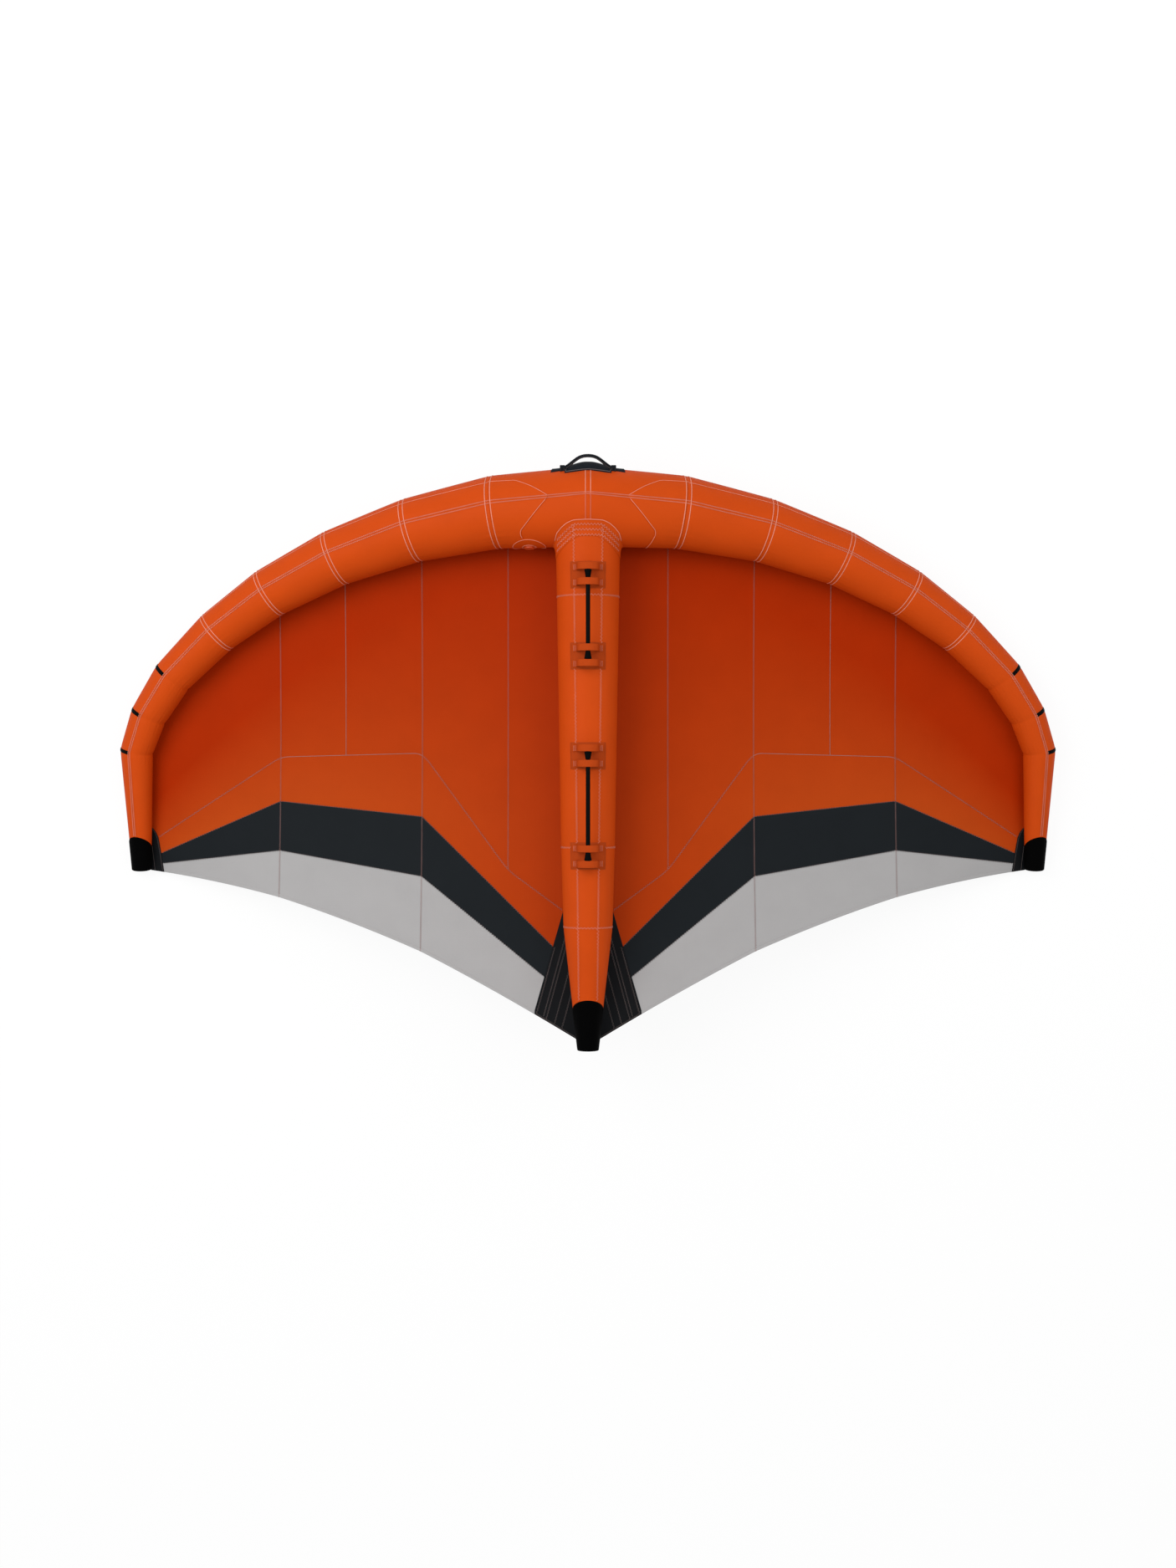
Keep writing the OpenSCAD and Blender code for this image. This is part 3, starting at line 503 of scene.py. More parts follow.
class Nodes:
    """A short way to write node trees."""

    def __init__(self, name, colour=(1, 1, 1)):
        self.mat = bpy.data.materials.new(name)
        self.mat.use_nodes = True
        self.tree = self.mat.node_tree
        self.tree.nodes.clear()
        self.out = self.tree.nodes.new("ShaderNodeOutputMaterial")
        self.bsdf = self.tree.nodes.new("ShaderNodeBsdfPrincipled")
        self.put(self.out, "Surface", self.bsdf.outputs[0])
        self.base = linear(colour)

    def put(self, node, key, value):
        if isinstance(value, bpy.types.NodeSocket):
            self.tree.links.new(value, node.inputs[key])
        else:
            node.inputs[key].default_value = value

    def look(self, **values):
        """Sets the surface's inputs, with their names' blanks written as underscores."""
        for key, value in values.items():
            self.put(self.bsdf, key.replace("_", " "), value)

    def add(self, kind, inputs=None, **props):
        node = self.tree.nodes.new("ShaderNode" + kind)
        for key, value in props.items():
            setattr(node, key, value)
        for key, value in (inputs or {}).items():
            self.put(node, key, value)
        return node

    def math(self, operation, a, b=0.0):
        return self.add("Math", {0: a, 1: b}, operation=operation).outputs[0]

    def times(self, a, b):
        return self.math("MULTIPLY", a, b)

    def plus(self, a, b):
        return self.math("ADD", a, b)

    def minus(self, a, b):
        return self.math("SUBTRACT", a, b)

    def mix(self, factor, a, b):
        node = self.add("Mix", data_type="RGBA", blend_type="MIX")
        for key, value in (("Factor", factor), ("A", a), ("B", b)):
            socket = [s for s in node.inputs if s.name == key and (s.type == "RGBA" or key == "Factor")][0]
            if isinstance(value, bpy.types.NodeSocket):
                self.tree.links.new(value, socket)
            else:
                socket.default_value = value if key == "Factor" else (*value, 1.0)
        return [s for s in node.outputs if s.type == "RGBA"][0]

    def metres(self):
        """The piece's UVs, which run in metres, and their two parts."""
        uv = self.add("UVMap", uv_map="metres").outputs[0]
        return uv, *self.add("SeparateXYZ", {0: uv}).outputs[:2]

    def noise(self, place, scale, detail, **more):
        return self.add("TexNoise", {"Vector": place, "Scale": scale, "Detail": detail, **more}).outputs["Fac"]

    def spread(self, value, low, high):
        return self.add("MapRange", {"Value": value, "To Min": low, "To Max": high}).outputs[0]

    def bump(self, height, strength, distance, **more):
        inputs = {"Height": height, "Strength": strength, "Distance": distance, **more}
        return self.add("Bump", inputs).outputs[0]


def painted_light_share(m, across, along):
    """Painted light and shade on the canopy: how far its orange has turned from a darker, painted-shade tone
    near the leading edge to a lighter, painted-lit tone, from the leading edge back, most near the tips.
    The canopy's UVs are its plan in wing axes."""
    out = m.math("ABSOLUTE", across, 0.0)
    front = m.plus(m.times(m.times(out, out), 0.36), 0.18)
    behind = m.minus(m.times(along, -1.0), front)
    reach = m.minus(0.95, m.times(out, 0.45))
    share = m.math("MINIMUM", m.math("MAXIMUM", m.math("DIVIDE", behind, reach), 0.0), 1.0)
    return m.times(share, m.plus(m.times(out, 0.55), 0.29))


def cloth_material(name, colour, thread=0.0006, rough=0.6, mottle=0.06, ripstop=0.0, bump=0.25,
                   specular=0.03, crease=0.0, painted_light_tone=None):
    """Woven cloth: crossed threads, faint mottling, and a ripstop grid where it has one. Where a second,
    lighter tone is given, the colour also carries painted shade near the leading edge that turns to painted
    light further back.
    """
    m = Nodes(name, colour)
    uv, across, along = m.metres()
    rate = math.pi / thread
    weave = m.times(*(m.math("SINE", m.times(x, rate)) for x in (across, along)))
    cloud = m.noise(uv, 9.0, 4.0, Roughness=0.55)
    fine = m.noise(uv, 420.0, 2.0, Roughness=0.6)

    def mottled(c):
        return m.mix(cloud, tint(c, 1 - 2 * mottle), tint(c, 1 + 1.4 * mottle))

    tone = mottled(m.base)
    # Painted shade and light: the base colour is the cloth as shaded near the leading edge, the second tone is
    # the cloth as lit further back.
    if painted_light_tone:
        tone = m.mix(painted_light_share(m, across, along), tone, mottled(linear(painted_light_tone)))
    tone = m.mix(m.times(m.plus(weave, 1.0), 0.06), tone, tint(m.base, 0.6))
    height = m.plus(m.times(weave, 0.35), m.times(fine, 0.5))
    if ripstop:
        in_cell = [m.minus(m.math("FRACT", m.math("DIVIDE", x, ripstop)), 0.5) for x in (across, along)]
        grid = m.math("MAXIMUM", *(m.math("LESS_THAN", m.math("ABSOLUTE", x), 0.06) for x in in_cell))
        tone = m.mix(m.times(grid, 0.07), tone, tint(m.base, 0.55))
        height = m.plus(height, m.times(grid, 0.8))
    normal = m.bump(height, bump, 0.0004)
    if crease:
        folds = m.noise(uv, 14.0, 3.0, Roughness=0.5, Distortion=0.8)
        normal = m.bump(folds, crease, 0.004, Normal=normal)
    m.look(Base_Color=tone, Roughness=m.spread(fine, rough - 0.07, rough + 0.07), Specular_IOR_Level=specular,
           Sheen_Weight=0.0, Sheen_Roughness=0.5, Normal=normal)
    return m.mat


def moulded_material(name, colour, rough=0.45, bump=0.15, scale=600.0, specular=0.4):
    """Moulded plastic, rubber or thread with a fine grain."""
    m = Nodes(name, colour)
    place = m.add("TexCoord").outputs["Object"]
    grain = m.noise(place, scale, 3.0)
    cloud = m.noise(place, 25.0, 3.0)
    tone = m.mix(cloud, tint(m.base, 0.8), tuple(v * 1.25 + 0.001 for v in m.base))
    m.look(Base_Color=tone, Roughness=m.spread(cloud, rough - 0.06, rough + 0.08), Specular_IOR_Level=specular,
           Normal=m.bump(grain, bump, 0.0003))
    return m.mat


def webbing_material(name, colour, rib=0.0022):
    """Webbing: ribs along its length, with slanted threads between them."""
    m = Nodes(name, colour)
    uv, along, across = m.metres()
    ribs = m.math("SINE", m.times(across, 2 * math.pi / rib))
    cross = m.math("SINE", m.plus(m.times(along, 2 * math.pi / 0.0016), m.times(ribs, 1.2)))
    cloud = m.noise(uv, 60.0, 3.0)
    tone = m.mix(cloud, tint(m.base, 0.85), tint(m.base, 1.12))
    tone = m.mix(m.times(m.plus(ribs, 1.0), 0.13), tint(m.base, 0.72), tone)
    m.look(Base_Color=tone, Roughness=0.7, Specular_IOR_Level=0.1,
           Normal=m.bump(m.plus(m.times(ribs, 0.6), m.times(cross, 0.4)), 0.5, 0.0005))
    return m.mat


def thread_material(name, colour):
    return moulded_material(name, colour, rough=0.6, bump=0.4, scale=2500.0, specular=0.1)


def tube_material(name, colour, crease):
    return cloth_material(name, colour, rough=0.58, specular=0.07, mottle=0.05, crease=crease)


def canopy_material(name, colour, mottle=0.04, rough=0.55, painted_light_tone=None):
    return cloth_material(name, colour, thread=0.0005, rough=rough, ripstop=0.006, mottle=mottle, painted_light_tone=painted_light_tone)


def trim_material(name, colour, **look):
    return cloth_material(name, colour, mottle=0.1, **look)


TUBE_CLOTH = tube_material("tube_cloth", (0.79, 0.280, 0.042), 0.12)
PATCH_CLOTH = tube_material("patch_cloth", (0.79, 0.283, 0.044), 0.08)
# The canopy's two orange tones are painted light: the first is the shade near the leading edge, the second is
# the lit cloth further back and near the tips.
CANOPY_ORANGE = canopy_material("canopy_orange", (0.66, 0.168, 0.0), painted_light_tone=(0.74, 0.295, 0.085))
CANOPY_DEEP = canopy_material("canopy_deep_orange", (0.665, 0.172, 0.0), painted_light_tone=(0.74, 0.300, 0.088))
CANOPY_NAVY = canopy_material("canopy_navy", (0.110, 0.125, 0.137), rough=0.5, mottle=0.05)
CANOPY_PALE = canopy_material("canopy_pale", (0.665, 0.660, 0.660), mottle=0.03)
BLACK_CLOTH = trim_material("black_cloth", (0.095, 0.10, 0.108), bump=0.4)
CAP_CLOTH = trim_material("cap_cloth", (0.006, 0.006, 0.007), thread=0.001, rough=0.75, bump=0.5)
BAND_CLOTH = trim_material("band_cloth", (0.015, 0.015, 0.015), thread=0.001, rough=0.7, bump=0.4,
                           specular=0.05)
NOSE_CLOTH = cloth_material("nose_handle_cloth", (0.105, 0.12, 0.145), thread=0.001, rough=0.65, mottle=0.08,
                            bump=0.5)
THREAD = thread_material("thread", (0.86, 0.53, 0.44))
PALE_THREAD = thread_material("pale_thread", (0.60, 0.46, 0.44))
GREY_THREAD = thread_material("grey_thread", (0.38, 0.345, 0.34))
DARK_THREAD = thread_material("dark_thread", (0.66, 0.25, 0.07))
WEBBING = webbing_material("orange_webbing", (0.80, 0.29, 0.05))
PAD_WEBBING = webbing_material("pad_webbing", (0.78, 0.285, 0.06), rib=0.003)
NOSE_WEBBING = webbing_material("nose_handle_webbing", (0.10, 0.115, 0.135))
BAR_GRIP = moulded_material("bar_grip", (0.005, 0.005, 0.005), rough=0.6, specular=0.06)
STOP_RUBBER = moulded_material("stop_rubber", (0.006, 0.006, 0.006), rough=0.65, bump=0.3, specular=0.05)
VALVE_PLASTIC = moulded_material("valve_plastic", (0.74, 0.26, 0.07))
FILM = moulded_material("bladder_film", (0.85, 0.85, 0.82), rough=0.25)


# ---- leading edge casing
AROUND = 120             # columns round a tube


def seam_dip(d, width=0.010, depth=0.0011):
    """How far the cloth is drawn in at a distance d from a seam."""
    return -depth * np.exp(-(d / width) ** 2)


BLADDER_CLEAR = -0.0010      # the furthest in that the cloth may go before the bladder shows


def le_skin(u, angle):
    """How far the inflated cloth stands off the plain cone between two joints."""
    u, angle = spread_out(u, angle)
    k = np.clip(np.floor(u).astype(int), 0, LAST - 1)
    t = u - k
    length = LE_LENGTH[k]
    radius = LE_R[k] * (1 - t) + LE_R[k + 1] * t
    swell = 0.006 * radius * (4 * t * (1 - t)) ** 0.7
    near = np.minimum(t, 1 - t) * length
    inner = np.clip(-cosd(angle), 0, 1) ** 1.5
    side = np.where(t < 0.5, k, k + 1)
    turn = np.radians(angle)
    gathers = np.sin(turn * 34 + 2.1 * side) * 0.6 + np.sin(turn * 21 + 1.3 * side) * 0.4
    pucker = 0.0010 * (0.35 + 0.9 * inner) * gathers * np.exp(-near / 0.028) * np.clip(near / 0.006, 0, 1)
    return np.maximum(swell + seam_dip(near) + pucker, BLADDER_CLEAR)


def le_surface(u, angle, off=0.0):
    return le_point(u, angle, le_skin(u, angle) + off)


def casing_rows(k):
    """Shares along segment k, closer together near its two seams."""
    t = np.linspace(0, 1, 33)
    return k + t - np.sin(2 * math.pi * t) / (2 * math.pi) * 0.75


def turned_uv(along, angles, r):
    """UVs in metres along a tube and round it."""
    return np.stack(np.broadcast_arrays(along[:, None], angles[None, :] / 360 * 2 * math.pi * r), -1)


def le_casing_pieces():
    angles = np.arange(AROUND) * 360 / AROUND
    for k in range(LAST):
        rows = casing_rows(k)
        rows[0], rows[-1] = k, k + 1 - 1e-9
        p = le_surface(rows[:, None], angles[None, :])
        uv = turned_uv((rows - k) * LE_LENGTH[k], angles, LE_R[k])
        if k == 0:
            for side, name in ((1, "le_casing_centre_right"), (-1, "le_casing_centre_left")):
                b = Build()
                b.grid(p if side > 0 else mirror_x(p), uv=uv, closed_v=True, flip=side < 0)
                b.piece("cloth_" + name, TUBE_CLOTH, "tube_cloth", name, ground=True)
        else:
            name = f"le_casing_{k + 1}"
            b = Build()
            b.grid(p, uv=uv, closed_v=True)
            b.mirrored().piece("cloth_" + name, TUBE_CLOTH, "tube_cloth", name)


# ---- seams of the leading edge
MAIN_SEAM = (77, 80, 80, 80, 80, 79, 77, 75, 74, 72)    # angle of the seam along the tube, at each joint
FRONT_LINE = (42, 42, 38, 34, 31, 30)     # angle of the thin line along the front, at each joint
SEAM_HALF = (0, 0.0082, 0.0072, 0.0063, 0.0060, 0.0058)    # half the distance between a joint's two rows
MAIN_SEAM_END = 0.119    # how far from the tube's end the long seam stops
PATCH_THICK = (0.0008, -1)    # of a patch sewn onto other cloth, inward from its outer face


def on_le(u, angle, off=0.0004):
    u, angle = spread_out(u, angle)
    return le_surface(u, angle, off), le_out(u, angle)


def main_seam(u, d=0.0):
    """The angle of the long seam at u, or of a line a distance d behind it."""
    joints = np.arange(LAST + 1)
    return np.interp(u, joints, MAIN_SEAM) + np.degrees(d / np.interp(u, joints, LE_R))


def le_stitching():
    b = Build()
    turn = np.arange(0, 361, 3.0)
    for k in range(1, 6):
        for side in (-1, 1):
            seg = k - 1 if side < 0 else k
            over = (k == 1 and side < 0) * 0.0010 * ((turn > 38) & (turn < 182))    # over the doublers
            u = np.full(len(turn), k + side * SEAM_HALF[k] / LE_LENGTH[seg])
            straight_stitch(b, *on_le(u, turn, 0.0004 + over), width=0.0028)
    u = np.concatenate([np.linspace(k, k + 1, 14)[:-1] for k in range(LAST)])
    end = LAST - MAIN_SEAM_END / LE_LENGTH[-1]
    u = np.append(u[u < end], end)
    apart = np.interp(u, [0, 1, 2, 3, 9], [0.0030, 0.0045, 0.0042, 0.0034, 0.0030])
    over = np.where((u > 0.40) & (u < 0.99), 0.0014, 0.0004)
    for side in (-1, 1):
        path, n = on_le(u, main_seam(u, side * apart), over)
        zigzag_stitch(b, path, n, width=0.0034, period=0.0052, radius=0.0010)
    for k in range(1, 5):
        u = np.linspace(k, k + 1 - 1e-6, 14)
        straight_stitch(b, *on_le(u, np.interp(u, np.arange(6), FRONT_LINE)), width=0.0018)
    b.mirrored().piece("le_stitching", THREAD, "tube_cloth")


# Outline of each nose doubler: shares from the nose to joint 1, and angles
DOUBLER_FRONT = ((0.985, 41), (0.71, 44), (0.55, 59), (0.395, 76))
DOUBLER_REAR = ((0.41, 82), (0.55, 104), (0.695, 128), (0.70, 137), (0.655, 166), (0.64, 178))


def traced(corners):
    """Shares and angles at even steps along an outline."""
    return polyline(np.array(corners, float) * [1, 0.01], 0.02) * [[1], [100]]


def nose_doublers():
    """The doublers beside the nose, and the stitching along their inner edge."""
    u, a = traced(DOUBLER_FRONT + DOUBLER_REAR)
    edge_u = u + (0.985 - u) * np.linspace(0, 1, 25)[:, None]
    p = le_surface(edge_u, np.broadcast_to(a, edge_u.shape), 0.0008)
    b = Build()
    b.sheet(p, flip=True)
    b.mirrored().piece("nose_doublers", PATCH_CLOTH, "tube_cloth", "nose_reinforcements", thick=(0.0007, 0))
    s, hidden = Build(), []
    for part in (DOUBLER_FRONT, DOUBLER_REAR):
        u, a = traced(part)
        p, n = on_le(u + 0.010, a, 0.0014)
        last = int(np.sum(a < VALVE_ANGLE - np.degrees(PATCH_R / LE_R[1])))
        straight_stitch(s, p[:last], n[:last], width=0.0018)
        if last < len(a):
            hidden.append((p[last - 1:], n[last - 1:]))
    s.mirrored()
    for p, n in hidden:      # on the left side the valve's patch covers it
        straight_stitch(s, p, n, width=0.0018)
    s.piece("doubler_stitching", THREAD, "tube_cloth")


def nose_seam():
    """The double seam over the middle of the nose, and round under it."""
    b = Build()
    half = 0.0078
    for lo, hi, count, zigzag in ((24, 77, 24, False), (77, 115, 24, True), (170, 340, 70, False)):
        p, n = on_le(np.full(count, half / LE_LENGTH[0]), np.linspace(lo, hi, count))
        if zigzag:
            zigzag_stitch(b, p, n, width=0.0030, period=0.0075, radius=0.0008)
        else:
            straight_stitch(b, p, n, width=0.0026)
    b.mirrored().piece("nose_seam_stitching", THREAD, "tube_cloth")


def guard_bands():
    """Black bands over joints 6, 7 and 8. Each splits into a narrow fork at its front end."""
    b = Build()
    half = 0.0062
    for k in (6, 7, 8):
        for lo, hi, side in ((8, main_seam(k) - 2, 0), (-40, 8, -1), (-40, 8, 1)):
            angles = np.linspace(lo, hi, 24)
            across = np.linspace(-1, 1, 9) if side == 0 else np.linspace(0.38, 1, 5) * side
            d = across[:, None] * half
            u = np.where(d < 0, k + d / LE_LENGTH[k - 1], k + d / LE_LENGTH[k])
            edge = 1 - np.abs(across if side == 0 else (across - 0.69 * side) / 0.31) ** 6
            p = le_surface(*np.broadcast_arrays(u, angles, 0.0003 + 0.0011 * edge[:, None]))
            b.sheet(p, flip=True)
    b.mirrored().piece("guard_bands", BAND_CLOTH, "black_cloth", "seam_guard_bands")


# ---- caps
TIP_MOUTH = 0.116        # the tip cap's mouth: how far from the tube's end where it is furthest
TIP_MOUTH_DIP = 0.030    # and how much nearer, for each step of 1 in the cosine of the angle
TIP_MOUTH_ANGLE = 81
CAP_EDGE = 0.0035        # height of the rounded end beyond the tube's end


def cap_mesh(ring_at, mouth, end, end_out, flip=False):
    """A cup over a tube end. ring_at(s, angle, off) gives the surface, and mouth(angle) where it starts."""
    angles = np.arange(72) * 5.0
    rows = np.linspace(0, 1, 26)
    start = mouth(angles)
    s = start[None, :] + (end - start[None, :]) * rows[:, None]
    lip = CAP_T * (1 - np.exp(-rows * 60))[:, None] + 0.0002
    p = ring_at(s, np.broadcast_to(angles, s.shape), np.broadcast_to(lip, s.shape))
    centre = p[-1].mean(0)
    turns = [t * math.pi / 2 for t in np.linspace(0.08, 1, 8)]
    ends = [(1 - (1 - math.cos(t)) * 0.12, CAP_EDGE * math.sin(t)) for t in turns[:-1]]
    ends += [(0.86, CAP_EDGE), (0.6, CAP_EDGE + 0.0007), (0.3, CAP_EDGE + 0.001)]
    round_off = [centre + (p[-1] - centre) * shrink + end_out * rise for shrink, rise in ends]
    full = np.concatenate([p, np.array(round_off)], 0)
    b = Build()
    b.sheet(full, closed_v=True, flip=flip)
    b.cap(full[-1], flip=not flip)
    return b


def tip_caps():
    def ring_at(s, a, off):
        return le_point(LAST - 1 + s, a, off)

    def mouth(a):
        return 1 - (TIP_MOUTH - TIP_MOUTH_DIP * (1 - cosd(a - TIP_MOUTH_ANGLE))) / LE_LENGTH[-1]

    b = cap_mesh(ring_at, mouth, 1.0, LE_WAY[-1])
    b.mirrored().piece("tip_cap_cloth", CAP_CLOTH, "cap_cloth", "tip_caps")


def strut_cap():
    def ring_at(s, a, off):
        return strut_point(-s, a, off)

    def mouth(a):
        return CAP_MOUTH - 0.026 + 0.033 * (1 - np.abs(sind(a)))

    b = cap_mesh(ring_at, mouth, STRUT_LENGTH, np.array([0, -1.0, 0]), flip=True)
    b.piece("strut_cap_cloth", CAP_CLOTH, "cap_cloth", "strut_cap")


# ---- strut
STRUT_SEAMS = STRUT_Y[1:4]


def strut_skin(y, angle):
    y, angle = spread_out(y, angle)
    near = np.min([np.abs(y - s) for s in STRUT_SEAMS], axis=0)
    gathers = np.sin(np.radians(angle) * 30 + 40 * np.round(y, 1)) * 0.0005 * np.exp(-near / 0.022)
    return 0.0004 + seam_dip(near, 0.008, 0.0009) + gathers * np.clip(near / 0.006, 0, 1)


def on_strut(y, angle, off=0.0004):
    y, angle = spread_out(y, angle)
    return strut_point(y, angle, strut_skin(y, angle) + off), strut_out(y, angle)


def strut_casing_pieces():
    angles = np.arange(AROUND) * 360 / AROUND
    stops = list(STRUT_Y[:4]) + [STRUT_Y[5]]
    for i in range(4):
        y = np.linspace(stops[i], stops[i + 1], 60 if i == 1 else 30)
        p = on_strut(y[:, None], angles[None, :], 0)[0]
        b = Build()
        b.grid(p, uv=turned_uv(y, angles, STRUT_R[i]), closed_v=True, flip=True)
        name = f"strut_casing_{i + 1}"
        b.piece("cloth_" + name, TUBE_CLOTH, "tube_cloth", name, ground=True)


def strut_stitching():
    b = Build()
    y = np.linspace(-0.069, 0.024 - CAP_MOUTH, 380)
    for side in (-1, 1):
        x = np.interp(-y, [0.069, CAP_MOUTH], [0.0456, 0.0287]) * side
        zigzag_stitch(b, *drape(x, y), width=0.0068, period=0.0115, radius=0.0011)
    for y0 in STRUT_SEAMS:
        a = np.linspace(-30, 210, 90)
        zigzag_stitch(b, *on_strut(y0, a), width=0.0058, period=0.0110, radius=0.0011)
    b.piece("strut_stitching", THREAD, "tube_cloth")


# ---- collar over the joint of strut and leading edge
# Where the collar's front edge lies on the leading edge: strut angle, distance from the middle, tube angle
COLLAR_FRONT = np.array(((-50, 0.088, 228), (-30, 0.112, 210), (-12, 0.119, 192), (5, 0.118, 176),
                         (20, 0.1125, 160), (38, 0.0998, 135.5), (50, 0.0823, 124.7), (60, 0.0647, 118),
                         (68, 0.045, 114.5), (90, 0.0, 114.5)))
COLLAR_ROWS = (-0.069, -0.0855, -0.1025)      # stitch rows across the strut
COLLAR_ROW_BEND = 0.0456                      # where they turn outward, from the middle


def push_out(p, clear):
    """Moves points out until they lie at least clear above both tubes."""
    p = p.copy()
    for _ in range(6):
        share = np.abs(p[..., 0]) / LE_AXIS[1, 0]
        axis = LE_AXIS[0] * (1 - share[..., None]) + LE_AXIS[1] * share[..., None]
        d = p - axis
        d[..., 0] = 0
        dist = np.linalg.norm(d, axis=-1)
        r = LE_R[0] * (1 - share) + LE_R[1] * share + 0.0008
        p += d / dist[..., None] * np.maximum(0, r + clear - dist)[..., None]
        d = p.copy()
        d[..., 1] = 0
        dist = np.linalg.norm(d, axis=-1)
        r = strut_r(p[..., 1]) + 0.0006
        p += d / dist[..., None] * np.maximum(0, r + clear - dist)[..., None]
    return p


def collar_surface(phi, t, clear=0.0012):
    """phi: angle round the strut, t: 0 at the edge on the leading edge, 1 at the edge on the strut."""
    phi, t = spread_out(phi, t)
    side = np.where(phi <= 90, 1, -1)
    f = np.where(phi <= 90, phi, 180 - phi)
    x, a = (np.interp(f, COLLAR_FRONT[:, 0], COLLAR_FRONT[:, c]) for c in (1, 2))
    front = le_point(x / LE_AXIS[1, 0], a, clear)
    front[..., 0] *= side
    r = STRUT_FRONT_D / 2 - 0.0015
    kx, kz = r * cosd(f), r * sind(f)
    share = kx / LE_AXIS[1, 0]
    ax = LE_AXIS[1][None] * share[..., None]
    le_r = LE_R[0] * (1 - share) + LE_R[1] * share
    ky = ax[..., 1] - np.sqrt(np.maximum(1e-6, le_r ** 2 - (kz - ax[..., 2]) ** 2))
    knee = np.stack([kx * side, ky, kz], -1) + np.stack([cosd(f) * side, -0.8 + 0 * f, sind(f)], -1) * 0.004
    back_y = ky - 0.032 - 0.012 * cosd(f) ** 2
    back = np.stack([strut_r(back_y) * cosd(f) * side, back_y, strut_r(back_y) * sind(f)], -1)
    tt = t[..., None]
    p = (1 - tt) ** 2 * front + 2 * tt * (1 - tt) * knee + tt ** 2 * back
    return push_out(p, clear)


def junction_collar():
    phi = np.linspace(-50, 230, 140)
    t = np.linspace(0, 1, 28)
    p = collar_surface(phi[:, None], t[None, :])
    b = Build()
    b.sheet(p)
    b.piece("junction_collar_cloth", PATCH_CLOTH, "tube_cloth", "junction_collar", ground=True,
            thick=PATCH_THICK)


def collar_stitching():
    b = Build()
    phi = np.linspace(-48, 228, 160)
    edge, ahead = (collar_surface(phi, np.full(len(phi), t)) for t in (0.02, 0.05))
    out = unit(np.cross(ahead - edge, np.gradient(edge, axis=0)))
    out *= np.sign((out * (edge - np.array([0, -0.16, 0]))).sum(-1, keepdims=True))
    straight_stitch(b, edge, out, lift=0.0005, width=0.0024)
    for y in COLLAR_ROWS:
        corners = [(COLLAR_ROW_BEND, y), (0.098, y - 0.0445)]
        row = polyline([(-x, v) for x, v in corners[::-1]] + corners)
        zigzag_stitch(b, *drape(*row), width=0.0064, period=0.0105, radius=0.0011)
    b.piece("collar_stitching", THREAD, "tube_cloth")


# ---- canopy
TIP_PATCH_L = 0.148      # length of a tip patch along the sheet's outer edge


def canopy_detail(x, y):
    """Small life in the taut cloth: soft gathers behind the tube, and low waves that fade out towards the
    sheet's edges, its tips and its middle.
    """
    ax = np.abs(x)
    behind = attach_y(ax) - y
    gathers = np.sin(ax * 96 + 1.7 * np.sin(ax * 31)) * np.exp(-np.maximum(behind, 0) / 0.075)
    waves = np.sin(ax * 21 + y * 7) * np.sin(y * 17 - ax * 5)
    chord = attach_y(ax) - te_y(ax)
    s = np.clip(behind / chord, 0, 1)
    edges = np.clip(np.sin(np.pi * s), 0, 1)
    edges = edges * np.clip((TIP_X - ax) / 0.1, 0, 1) * np.clip((ax - 0.03) / 0.15, 0, 1)
    return (0.0008 * gathers * np.clip(behind / 0.012, 0, 1) + 0.0012 * waves) * edges


def sheet_z(x, y):
    """Height of the sheet's middle, half a millimetre under the plain surface."""
    return canopy_z(np.abs(x), y) + canopy_detail(x, y) - 0.0005


def zone_lines(x):
    return [attach_y(x), panel_seam(x), stripe_top(x), stripe_bottom(x), te_y(x)]


def tip_fold(edge):
    """The sheet's outer edge, turned up and sewn to the last piece of the tube."""
    start, end = le_point(np.array([LAST - 1.0, LAST]), ATTACH_ANGLE)
    t = np.clip((edge[:, 1] - start[1]) / (end[1] - start[1]), 0, 1)
    angles = np.linspace(200, 300, 400)
    last = angles[np.argmin(np.abs(le_ring(LAST, angles, 0.0 * angles)[:, 0] - TIP_X))]
    sewn = le_surface(LAST - 1 + t * (1 - 1e-9), ATTACH_ANGLE + t * (last - ATTACH_ANGLE), -0.0015)
    share = np.linspace(0, 1, 5)[:, None, None]
    return edge * (1 - share) + sewn * share


